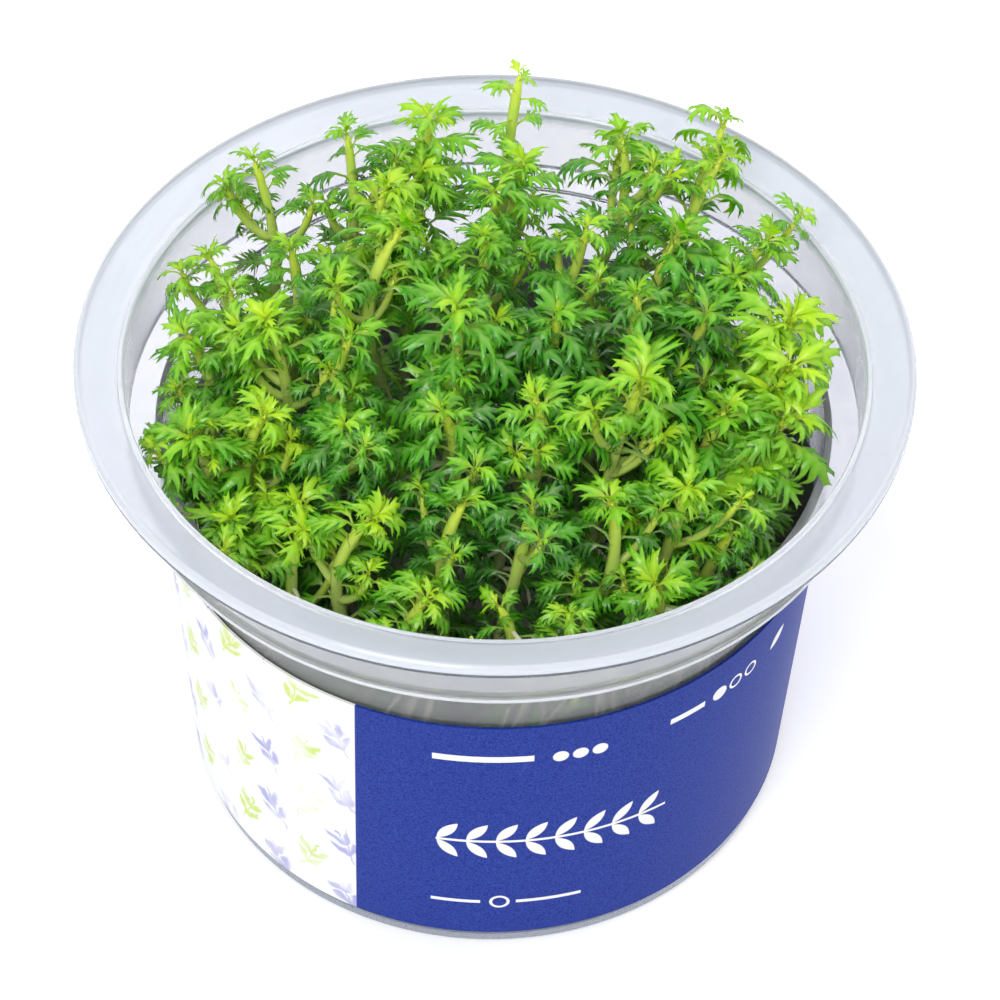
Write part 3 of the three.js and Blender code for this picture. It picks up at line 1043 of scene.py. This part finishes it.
class Habit(Enum):
    """The ways that the plantlets and their side shoots grow."""

    BUSHY = Growth(leaves=30, first_gap=0.12, last_gap=0.95, side_shoots=3, low_leaves=22, stem_radius=0.62)
    LEGGY = Growth(leaves=21, first_gap=0.15, last_gap=1.2, side_shoots=3, low_leaves=16, stem_radius=0.5)
    PALM = Growth(leaves=21, first_gap=0.12, last_gap=0.55, side_shoots=2, low_leaves=22, stem_radius=0.65)
    SPARSE = Growth(leaves=10, first_gap=0.4, last_gap=2.2, side_shoots=0, low_leaves=8, stem_radius=0.6)
    SIDE = Growth(leaves=14, first_gap=0.12, last_gap=0.6, side_shoots=0, low_leaves=0, stem_radius=0.5)
    FRINGE = Growth(leaves=4, first_gap=0.6, last_gap=2.4, side_shoots=0, low_leaves=3, stem_radius=0.5)


class Tone(Enum):
    """The colouring of a plantlet: how much younger it looks than others, and how bronzed its tips are."""

    FRESH = (0.0, 0.0)
    LIME = (0.2, 0.0)
    DEEP = (-0.14, 0.0)
    BRONZED = (-0.02, 0.4)


@dataclass(frozen=True)
class Crown:
    """A plantlet's crown.

    Attributes:
        x: Its place to the right of the cup's axis, in millimetres.
        y: Its place behind the axis, in millimetres.
        top: Its height, in millimetres.
        reach: How far its leaves reach, in millimetres.
        lean_x: How far the stem's tip leans to the right for each millimetre that it rises.
        lean_y: How far it leans to the back.
        habit: How it grows.
        tone: Its colouring.
        long_leaf: The angle that an extra long leaf grows towards, in degrees, if it has one.
        open_front: Whether its older leaves leave the stem's front bare.
    """

    x: float
    y: float
    top: float
    reach: float
    lean_x: float = 0.0
    lean_y: float = 0.0
    habit: Habit = Habit.BUSHY
    tone: Tone = Tone.FRESH
    long_leaf: float | None = None
    open_front: bool = False


# Crowns, row by row from the back of the cup to the front.
CROWNS = [
    Crown(1, 32, 81, 7, -0.12, 0.1, Habit.SPARSE, Tone.LIME),
    Crown(-9, 32, 74, 8, -0.15, 0.1, Habit.LEGGY),
    Crown(-19, 29, 74, 7, -0.2, 0.15, Habit.LEGGY, open_front=True),
    Crown(-30, 25, 73, 6, -0.3, 0.2, Habit.LEGGY, Tone.BRONZED, open_front=True),
    Crown(14, 27, 76, 8, -0.35, 0.3, Habit.LEGGY, open_front=True),
    Crown(26, 25, 75, 8, 0.45, 0.3, Habit.LEGGY, open_front=True),
    Crown(2, 22, 76, 9, 0.1, 0.1),
    Crown(-14, 20, 73, 8, 0.15, 0.1, tone=Tone.LIME),
    Crown(-35, 13, 68, 6, -0.3, 0.1, Habit.LEGGY, Tone.BRONZED),
    Crown(-25, 13, 70, 7, -0.15, 0.1, open_front=True),
    Crown(-12, 10, 76, 9, 0.6, 0.4, tone=Tone.LIME, open_front=True),
    Crown(-2, 12, 73, 8, -0.1, 0.1),
    Crown(10, 12, 75, 8, 0.15, 0.2, Habit.LEGGY, Tone.LIME, open_front=True),
    Crown(21, 14, 72, 9, 0.1, 0.15, tone=Tone.DEEP),
    Crown(32, 14, 72, 9, 0.35, 0.1),
    Crown(-37, 2, 66, 7, -0.3, 0.0),
    Crown(-27, 0, 70, 9, -0.2, 0.1, tone=Tone.LIME, open_front=True),
    Crown(-17, -2, 70, 8, 0.3, -0.1, open_front=True),
    Crown(-5, -1, 74, 9, -0.1, -0.1),
    Crown(7, 1, 71, 8, 0.1, 0.0, tone=Tone.DEEP),
    Crown(16, 3, 73, 8, -0.1, 0.1, open_front=True),
    Crown(25, 3, 70, 9, 0.1, 0.1, tone=Tone.DEEP),
    Crown(35, 3, 69, 11, 0.35, 0.1, tone=Tone.LIME),
    Crown(-36, -10, 61, 8, -0.3, -0.1),
    Crown(-27, -11, 65, 8, 0.45, 0.0, Habit.LEGGY, Tone.LIME, open_front=True),
    Crown(-17, -13, 66, 8, 0.2, -0.1),
    Crown(-6, -12, 68, 8, -0.15, -0.1),
    Crown(5, -11, 69, 8, -0.2, 0.1, Habit.LEGGY, open_front=True),
    Crown(17, -9, 70, 11, 0.1, 0.0, Habit.LEGGY, Tone.LIME, open_front=True),
    Crown(28, -8, 65, 9, 0.2, 0.0, tone=Tone.DEEP),
    Crown(37, -8, 64, 10, 0.35, 0.0, tone=Tone.BRONZED),
    Crown(-31, -20, 57, 7, -0.2, -0.2),
    Crown(-22, -24, 58, 7, 0.35, 0.0, Habit.PALM, Tone.LIME, open_front=True),
    Crown(-13, -23, 61, 8, 0.45, 0.1, Habit.PALM, Tone.LIME, open_front=True),
    Crown(-3, -21, 62, 7, 0.3, 0.1, Habit.PALM, open_front=True),
    Crown(6, -22, 62, 7, -0.15, 0.1, Habit.PALM, Tone.DEEP, open_front=True),
    Crown(15, -20, 62, 7, -0.4, 0.1, Habit.PALM, open_front=True),
    Crown(24, -18, 61, 8, 0.15, -0.1, Habit.PALM, Tone.LIME, long_leaf=25.0, open_front=True),
    Crown(33, -18, 54, 6, 0.2, -0.1, Habit.PALM, Tone.DEEP),
    Crown(-7, -31, 56, 6, 0.4, 0.1, Habit.PALM, Tone.LIME, open_front=True),
    Crown(3, -32, 54, 7, -0.5, 0.1, Habit.SPARSE),
    Crown(12, -31, 54, 6, -0.3, 0.0, Habit.PALM, open_front=True),
    Crown(21, -28, 55, 7, -0.3, -0.1, Habit.PALM, Tone.DEEP),
]


@dataclass
class Stem:
    """A round stem along a line of points.

    Attributes:
        points: The points of its middle line, from its root to its tip, in millimetres.
        root_radius: Its radius at its root, in millimetres.
        tip_radius: Its radius below its rounded tip, in millimetres.
    """

    # How proud its three ridges and its swellings are, and how narrow its tip, as shares of its radius.
    RIDGE = 0.1
    SWELLING = 0.06
    TIP_SHARE = 0.3

    points: list[Vector]
    root_radius: float
    tip_radius: float

    def at(self, back: float) -> tuple[Vector, Vector]:
        """Returns the point at a distance back from the tip, and the stem's direction there."""
        for above, below in zip(reversed(self.points), reversed(self.points[:-1])):
            step = above - below
            if back <= step.length:
                return above - step.normalized() * back, step.normalized()
            back -= step.length
        return self.points[0], (self.points[1] - self.points[0]).normalized()

    def skin(self, bm: BMesh, sides: int) -> list[list[BMVert]]:
        """Adds the stem's skin to a mesh, closed at both ends.

        Args:
            bm: The mesh.
            sides: How many sides the stem has.

        Returns:
            Its rings of vertices, from its root to its tip.
        """
        ring = bmesh.ops.create_circle(bm, segments=sides, radius=1.0, cap_ends=True)["verts"]
        rings = []
        last = len(self.points) - 1
        for number, middle in enumerate(self.points):
            if number:
                rim = [bm.edges.get((vert, ring[place - 1])) for place, vert in enumerate(ring)]
                grown = set(bmesh.ops.extrude_edge_only(bm, edges=rim)["geom"])
                ring = [next(other for other in (edge.other_vert(vert) for edge in vert.link_edges)
                             if other in grown) for vert in ring]
            turn = turn_to(self.points[min(number + 1, last)] - self.points[max(number - 1, 0)])
            width = self.root_radius + (self.tip_radius - self.root_radius) * number / last
            to_tip = min(1.0, (self.points[-1] - middle).length / (4 * self.tip_radius))
            width *= curve(self.TIP_SHARE, 1.0 - self.TIP_SHARE, 0.6, to_tip)
            swelling = self.SWELLING * math.sin(2.3 * number)
            for place, vert in enumerate(ring):
                angle = math.tau * place / sides
                ridge = 1.0 + self.RIDGE * math.sin(3 * angle + 0.5 * number) + swelling
                vert.co = middle + turn @ level(angle) * width * ridge
            rings.append(ring)
        bmesh.ops.contextual_create(bm, geom=ring)
        return rings


@dataclass
class Plantlet:
    """One featherfoil plantlet: a stem that leans to its crown, side shoots, roots and spirals of leaves.

    Attributes:
        crown: Its crown.
        index: Its place in the list of crowns. It also seeds the plantlet's own chance.
        shapes: The leaves that it may grow.
    """

    # The main stem, in millimetres: it stands straight and then crosses to its crown, with a sway. It is
    # drawn in even steps up to its leafy tip, and then in the tip's own steps.
    ROOT_END = 7.5
    STRAIGHT = 19.0
    RISE_END = 70.0
    STEM_RADIUS = 1.0
    STEM_SIDES = 8
    STEM_YOUTH = (0.0, 0.95)
    STEM_STEPS = 22
    TIP_STEPS = (3.6, 2.4, 1.2, 0.4, 0.0)
    LEAFY = 5.0
    FOOT_SCALE = (0.8, 0.86)
    FOOT_SHIFT = -5.0
    SWAY = 1.2
    SWAY_TURN = 2.4
    LEAN_LENGTH = 34.0
    LEAN = (-0.22, 0.22)
    VIGOUR = (0.8, 1.1)

    # The cup round it, in millimetres: how near the wall leaves come, how softly they press on it, and the
    # zone below the step's top in which the step lifts them.
    WALL_CLEARANCE = 0.6
    PRESS = 1.8
    NEAR_WALL = 29
    NEAR_FRONT = -19
    STEP_GAP = 0.9
    STEP_ZONE = 7
    STEP_REACH = 35.5
    STEP_FADE = 3.0
    STEP_LIFT = 0.85
    LIFT_FADE = 2

    # How much lighter its leaves are painted by the wall, as painted light, and how much darker elsewhere,
    # as painted shade; what chance adds to their age; and the stem's streaks.
    WALL_PAINTED_LIGHT = 0.08
    INNER_PAINTED_SHADE = -0.02
    AGE = (-0.2, 0.05)
    STREAK = (-0.15, 0.15)

    # A whorled leaf: which kind it is below an age, and how its length, slopes and youth go with its age.
    # Each curve has its start, its change and its power.
    KINDS = ((LeafKind.BUD, 0.2), (LeafKind.YOUNG, 0.55), (LeafKind.GROWN, math.inf))
    GOLDEN_ANGLE = math.radians(137.5)
    LENGTH_CURVE = (0.42, 0.62, 0.7)
    LIFT_CURVE = (84, -50, 0.8)
    DROOP_CURVE = (20, -125, 0.42)
    YOUTH_CURVE = (0.9, -0.68, 0.55)
    HEADING = (-0.4, 0.4)
    LENGTH = (0.72, 1.28)
    LIFT = (-18, 18)
    DROOP = (-35, 35)
    FOLD = (1.5, 5.0)
    TWIST = (-0.8, 0.8)
    SWEEP = (-0.22, 0.22)
    BARE_AGE = 0.5
    BARE_SIDE = -0.5

    # A stray leaf low on the stem.
    LOW_GAP = (0.4, 2.4)
    LOW_LENGTH = (0.8, 1.3)
    LOW_LIFT = (15, 60)
    LOW_DROOP = (-90, -20)
    LOW_FOLD = (1.2, 3.6)
    LOW_TWIST = (-0.6, 0.6)
    LOW_YOUTH = (0.1, 0.4)
    OUTWARD = (-0.9, 0.9)
    KEPT_BACK = 3

    # Side shoots, runners near the cup's front wall, and root threads: where they start, and their sizes. A
    # turn has its first angle and its step, in radians.
    SHOOT_SIDES = 6
    SIDE_RADIUS = 0.58
    SIDE_YOUTH = (0.3, 0.9)
    SHOOT_TURN = (2.2, 3.0)
    SIDE_TURN = (-0.5, 0.5)
    SIDE_BACK = (8, 18)
    SIDE_LENGTH = (6, 12)
    SIDE_REACH = (0.65, 0.95)
    RUNNERS = 5
    RUNNER_RADIUS = 0.7
    RUNNER_YOUTH = (0.0, 0.4)
    RUNNER_STEP = 0.45
    RUNNER_REACH = 0.7
    RUNNER_DEPTH = (36, 43)
    RUNNER_TURN = (-0.2, 0.2)
    RUNNER_LENGTH = (12, 17)
    THREADS = 2
    THREAD_SIDES = 5
    THREAD_YOUTH = (0.0, 0.0)
    THREAD_TURN = (1.0, 2.7)
    THREAD_RADII = (0.32, 0.22)
    THREAD_BACK = (24, 34)
    THREAD_LENGTH = (8, 14)
    LOW_THREAD_DEPTH = (44, 50)
    LOW_THREAD_LENGTH = (10, 15)

    # The extra long leaf: how far below the tip it starts, how young it is, and its pose.
    LONG_BACK = 10.0
    LONG_YOUTH = 0.6
    LONG_POSE = {"length": 20.0, "lift": math.radians(54), "droop": math.radians(-12), "fold": 1.0,
                 "twist": 0.2}

    crown: Crown
    index: int
    shapes: dict[LeafKind, LeafShape]

    def __post_init__(self) -> None:
        """Starts the plantlet's chance and its mesh."""
        crown = self.crown
        self.chance = random.Random(1000 + self.index)
        self.lean_x = crown.lean_x + self.draw(self.LEAN)
        self.lean_y = crown.lean_y + self.draw(self.LEAN)
        self.vigour = self.draw(self.VIGOUR)
        self.outward = math.atan2(crown.y, crown.x)
        self.by_wall = math.hypot(crown.x, crown.y) > self.NEAR_WALL
        self.shift = crown.tone.value[0] + self.draw(self.AGE)
        # Painted light and shade: leaves of crowns by the wall are painted lighter, and those further in
        # darker.
        self.shift += self.WALL_PAINTED_LIGHT if self.by_wall else self.INNER_PAINTED_SHADE
        self.bm = bmesh.new()
        self.tissue = self.bm.verts.layers.float_color.new("tissue")

    def draw(self, span: Span) -> float:
        """Returns a chance value within a span."""
        return self.chance.uniform(*span)

    def centre(self, height: float) -> Vector:
        """Returns the middle of the main stem at a height, in millimetres."""
        crown = self.crown
        foot_x = crown.x * self.FOOT_SCALE[0] + self.FOOT_SHIFT
        foot_y = crown.y * self.FOOT_SCALE[1]
        rise = max(0.0, (height - self.STRAIGHT) / (self.RISE_END - self.STRAIGHT))
        bow = self.SWAY * math.sin(math.pi * min(rise, 1.0))
        side = self.index * self.SWAY_TURN
        x = foot_x + (crown.x - foot_x) * rise + bow * math.cos(side)
        y = foot_y + (crown.y - foot_y) * rise + bow * math.sin(side)
        near = clamp(1.0 - (crown.top - height) / self.LEAN_LENGTH)
        bend = self.LEAN_LENGTH * near ** 2 * (near - 1.0)
        return Vector((x + self.lean_x * bend, y + self.lean_y * bend, height))

    def main_stem(self) -> Stem:
        """Returns the plantlet's main stem."""
        tip = self.crown.top
        rise = tip - self.LEAFY - self.ROOT_END
        heights = [self.ROOT_END + rise * step / self.STEM_STEPS for step in range(self.STEM_STEPS + 1)]
        heights += [tip - step for step in self.TIP_STEPS]
        return Stem([self.centre(height) for height in heights], self.STEM_RADIUS,
                    self.crown.habit.value.stem_radius)

    def side_stem(self, main: Stem, back: float, heading: float, length: float, radius: float) -> Stem:
        """Returns a side shoot's stem, which leaves its parent sideways and turns to rise along it.

        Args:
            main: The stem that it grows from.
            back: How far below that stem's tip it starts, in millimetres.
            heading: The angle that it grows towards.
            length: Its length, in millimetres.
            radius: Its radius at its root, in millimetres.

        Returns:
            The stem.
        """
        root, way = main.at(back)
        out = level(heading)
        points = [root + out * (length * (0.75 * share - 0.22 * share ** 2))
                  + way * (length * (0.3 * share + 0.55 * share ** 2))
                  for share in (step / 6 for step in range(7))]
        return Stem(points, radius, 0.8 * radius)

    def add_thread(self, main: Stem, back: float, heading: float, span: Span) -> None:
        """Adds a thin pale root that hangs from a stem in a slack wave.

        Args:
            main: The stem that it grows from.
            back: How far below that stem's tip it starts, in millimetres.
            heading: The angle that it grows towards.
            span: The span of its length, in millimetres.
        """
        length = self.draw(span)
        root = main.at(back)[0]
        out = level(heading)
        beside = Vector((-out.y, out.x, 0.0))
        points = [root + out * (length * 0.55 * math.sin(1.5 * share))
                  + beside * (length * 0.12 * math.sin(5.0 * share))
                  - Vector((0.0, 0.0, length * 0.8 * share ** 1.6))
                  for share in (step / 7 for step in range(8))]
        self.add_stem(Stem(points, *self.THREAD_RADII), self.THREAD_SIDES, self.THREAD_YOUTH)

    def hold_in(self, place: Vector) -> Vector:
        """Returns where a point is once the cup's step holds it up and its wall holds it in."""
        reach = math.hypot(place.x, place.y)
        over_step = STEP_HEIGHT + WALL + self.STEP_GAP
        if over_step - self.STEP_ZONE < place.z < over_step:
            share = clamp((reach - self.STEP_REACH) / self.STEP_FADE)
            share *= min((place.z - over_step + self.STEP_ZONE) / self.LIFT_FADE, 1.0)
            place = Vector((place.x, place.y, place.z + self.STEP_LIFT * (over_step - place.z) * share))
        wide = place.z > STEP_HEIGHT + WALL + 0.1
        limit = (MOUTH_RADIUS if wide else wall_radius(place.z) - WALL) - self.WALL_CLEARANCE
        over = reach - (limit - self.PRESS)
        if over <= 0:
            return place
        held = limit - self.PRESS * math.exp(-over / self.PRESS)
        return Vector((place.x * held / reach, place.y * held / reach, place.z))

    def add_stem(self, stem: Stem, sides: int, youth: Span) -> None:
        """Adds a stem's skin, with its colouring.

        Args:
            stem: The stem.
            sides: How many sides it has.
            youth: How young it is at its root and at its tip, from 0 to 1.
        """
        rings = stem.skin(self.bm, sides)
        skin = {face for ring in rings for vert in ring for face in vert.link_faces}
        bmesh.ops.recalc_face_normals(self.bm, faces=list(skin))
        for number, ring in enumerate(rings):
            fresh = curve(youth[0], youth[1] - youth[0], 3, number / (len(rings) - 1))
            for place, vert in enumerate(ring):
                vert.co = self.hold_in(vert.co)
                streak = 0.5 + 0.3 * math.sin(5.3 * place)
                vert[self.tissue] = (1.0, fresh, streak + self.draw(self.STREAK), 0.0)

    def add_leaf(self, kind: LeafKind, pose: LeafPose, youth: float) -> None:
        """Adds one leaf to the plantlet. Its vein pales with youth, and only its tip is bronzed.

        Args:
            kind: The kind of leaf.
            pose: How it stands.
            youth: How young it is, from 0 to 1.
        """
        shape = self.shapes[kind]
        before = len(self.bm.verts)
        self.bm.from_mesh(shape.mesh)
        self.bm.verts.ensure_lookup_table()
        chance = self.chance.random()
        bronze = self.crown.tone.value[1]
        spine = pose.spine()
        for vert, vein in zip(self.bm.verts[before:], shape.veins):
            flat = vert.co.copy()
            vert.co = self.hold_in(pose.place(flat, spine))
            tip = clamp((flat.y + abs(flat.x) - 0.7) / 0.4)
            # fresh carries the shift, with its painted light by the wall and painted shade further in.
            fresh = clamp(youth + self.shift + 0.15 * (0.5 - flat.y))
            vert[self.tissue] = (vein * min(1.0, 0.25 + 1.3 * fresh), fresh, chance, bronze * tip)

    def grow_leaves(self, stem: Stem, growth: Growth, reach: float, turn: float) -> None:
        """Grows a spiral of leaves, youngest at the stem's tip, and stray leaves below them.

        Args:
            stem: The stem.
            growth: How it is set with leaves.
            reach: How long its grown leaves are, in millimetres.
            turn: The angle that the youngest leaf grows towards.
        """
        back = 0.0
        for number in range(growth.leaves):
            age = number / (growth.leaves - 1)
            root, way = stem.at(back)
            pose = LeafPose(
                root, turn_to(way),
                heading=turn + number * self.GOLDEN_ANGLE + self.draw(self.HEADING),
                length=reach * curve(*self.LENGTH_CURVE, min(1.0, age * 1.4)) * self.draw(self.LENGTH),
                lift=math.radians(curve(*self.LIFT_CURVE, age) + self.draw(self.LIFT)),
                droop=math.radians(curve(*self.DROOP_CURVE, age) + self.draw(self.DROOP)),
                fold=self.draw(self.FOLD), twist=self.draw(self.TWIST), sweep=self.draw(self.SWEEP),
            )
            in_front = age > self.BARE_AGE and math.sin(pose.heading) < self.BARE_SIDE
            if not (self.crown.open_front and in_front):
                kind = next(kind for kind, oldest in self.KINDS if age < oldest)
                self.add_leaf(kind, pose, curve(*self.YOUTH_CURVE, age))
            back += curve(growth.first_gap, growth.last_gap - growth.first_gap, 1.2, age)
        for number in range(growth.low_leaves):
            back += self.draw(self.LOW_GAP)
            root, way = stem.at(back)
            heading = self.chance.uniform(0.0, math.tau)
            if self.crown.open_front and number < self.KEPT_BACK:
                heading = abs(heading - math.pi)
            elif self.by_wall and number % 2:
                heading = self.outward + self.draw(self.OUTWARD)
            pose = LeafPose(root, turn_to(way), heading, reach * self.draw(self.LOW_LENGTH),
                            math.radians(self.draw(self.LOW_LIFT)), math.radians(self.draw(self.LOW_DROOP)),
                            self.draw(self.LOW_FOLD), self.draw(self.LOW_TWIST))
            self.add_leaf(LeafKind.GROWN, pose, self.draw(self.LOW_YOUTH))

    def build(self, material: Material) -> Object:
        """Builds and dresses the plantlet.

        Args:
            material: Its foliage.

        Returns:
            The plantlet's object.
        """
        crown = self.crown
        growth = crown.habit.value
        turn = self.index * self.SWAY_TURN
        main = self.main_stem()
        reach = crown.reach * self.vigour
        self.add_stem(main, self.STEM_SIDES, self.STEM_YOUTH)
        self.grow_leaves(main, growth, reach, turn)
        for shoot in range(growth.side_shoots):
            heading = turn + self.SHOOT_TURN[0] + self.SHOOT_TURN[1] * shoot + self.draw(self.SIDE_TURN)
            side = self.side_stem(main, self.draw(self.SIDE_BACK), heading, self.draw(self.SIDE_LENGTH),
                                  self.SIDE_RADIUS)
            self.add_stem(side, self.SHOOT_SIDES, self.SIDE_YOUTH)
            self.grow_leaves(side, Habit.SIDE.value, reach * self.draw(self.SIDE_REACH), heading)
        for thread in range(self.THREADS):
            heading = turn + self.THREAD_TURN[0] + self.THREAD_TURN[1] * thread
            back = self.draw(self.THREAD_BACK)
            self.add_thread(main, back, heading, self.THREAD_LENGTH)
        for number in range(self.RUNNERS if self.by_wall and crown.y < self.NEAR_FRONT else 0):
            back = crown.top - self.draw(self.RUNNER_DEPTH)
            heading = self.outward + self.RUNNER_STEP * (number - 2) + self.draw(self.RUNNER_TURN)
            runner = self.side_stem(main, back, heading, self.draw(self.RUNNER_LENGTH), self.RUNNER_RADIUS)
            self.add_stem(runner, self.SHOOT_SIDES, self.RUNNER_YOUTH)
            if number % 2:
                self.grow_leaves(runner, Habit.FRINGE.value, self.RUNNER_REACH * reach, heading)
            back = crown.top - self.draw(self.LOW_THREAD_DEPTH)
            heading = self.outward + self.draw(self.OUTWARD)
            self.add_thread(main, back, heading, self.LOW_THREAD_LENGTH)
        if crown.long_leaf is not None:
            pose = LeafPose(main.at(self.LONG_BACK)[0], Matrix.Identity(3),
                            heading=math.radians(crown.long_leaf), **self.LONG_POSE)
            self.add_leaf(LeafKind.LONG, pose, self.LONG_YOUTH)
        name = f"plantlet_{self.index + 1:02d}"
        return finish_piece(self.bm, f"{name}_foliage", [material], name)


@dataclass(frozen=True)
class Studio:
    """The floor, the soft light round the cup and the camera at the photograph's angle.

    Attributes:
        distance: From the camera to the middle of the cup's rim, in metres.
        elevation: How far above the rim's plane the camera is, in degrees.
        yaw: How far it is turned from that middle, in degrees.
        pitch: How far it is tipped from it, in degrees.
        roll: How far it is rolled, in degrees.
        focal_pixels: Its focal length, in the photograph's pixels.
        rim_height: How high the rim is, in metres.
        lights: Each soft light's name, its place and the length of its side in metres, and its watts.
    """

    distance: float = 0.4181
    elevation: float = 44.722
    yaw: float = 0.128
    pitch: float = -2.496
    roll: float = 1.468
    focal_pixels: float = 3517.0
    rim_height: float = 0.067
    lights: tuple[tuple[str, tuple[float, float, float], float, float], ...] = (
        ("key", (-0.2, -0.5, 0.7), 0.35, 3.3),
        ("fill", (0.45, 0.25, 0.7), 0.6, 1.3),
    )

    def add_camera(self) -> None:
        """Adds the camera."""
        up_angle = math.radians(self.elevation)
        ahead = Vector((0.0, math.cos(up_angle), -math.sin(up_angle)))
        right = Vector((1.0, 0.0, 0.0))
        yaw, pitch, turn = (math.radians(angle) for angle in (self.yaw, self.pitch, self.roll))
        aim = ahead * math.cos(yaw) * math.cos(pitch) + right * math.sin(yaw)
        aim = (aim + right.cross(ahead) * math.sin(pitch)).normalized()
        side = aim.cross(Vector((0.0, 0.0, 1.0))).normalized()
        upward = side.cross(aim)
        across = side * math.cos(turn) + upward * math.sin(turn)
        top = upward * math.cos(turn) - side * math.sin(turn)
        camera = bpy.data.cameras.new("camera")
        camera.lens = self.focal_pixels / PHOTO_SIDE * SENSOR
        camera.sensor_width = SENSOR
        camera.clip_start = 0.01
        eye = link_object("camera", camera)
        place = Vector((0.0, 0.0, self.rim_height)) - ahead * self.distance
        eye.matrix_world = Matrix.Translation(place) @ Matrix((across, top, -aim)).transposed().to_4x4()
        bpy.context.scene.camera = eye

    def add_surroundings(self) -> None:
        """Adds the floor, the soft white surroundings and the square lights, which face the cup's middle."""
        world = bpy.data.worlds.new("white_tent")
        world.use_nodes = True
        sky = world.node_tree.nodes["Background"]
        sky.inputs["Color"].default_value = linear("#FBFCFF")
        sky.inputs["Strength"].default_value = 0.8
        bpy.context.scene.world = world
        bm = bmesh.new()
        bmesh.ops.create_grid(bm, x_segments=4, y_segments=4, size=3.0)
        floor = mesh_object(bm, "floor", [StudioFloor().build()])
        for name, place, size, watts in self.lights:
            light = bpy.data.lights.new(name, "AREA")
            light.size = size
            light.energy = watts
            lamp = link_object(name, light)
            lamp.location = place
            aim = Vector((0.0, 0.0, 0.05)) - Vector(place)
            lamp.rotation_euler = aim.to_track_quat("-Z", "Y").to_euler()
        bpy.context.scene.view_settings.view_transform = "Standard"


def main() -> None:
    """Builds every piece and the studio."""
    logging.basicConfig(level=logging.INFO, format="%(message)s")
    studio = Studio()
    studio.add_camera()
    studio.add_surroundings()
    Cup().build(Polypropylene().build())
    Label().build(PrintedPaper().build(), BarePaper().build())
    Gel().build(AgarGel().build())
    foliage = Foliage().build()
    shapes = {kind: kind.value.draw() for kind in LeafKind}
    for index, crown in enumerate(CROWNS):
        Plantlet(crown, index, shapes).build(foliage)
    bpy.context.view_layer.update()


if __name__ == "__main__":
    main()
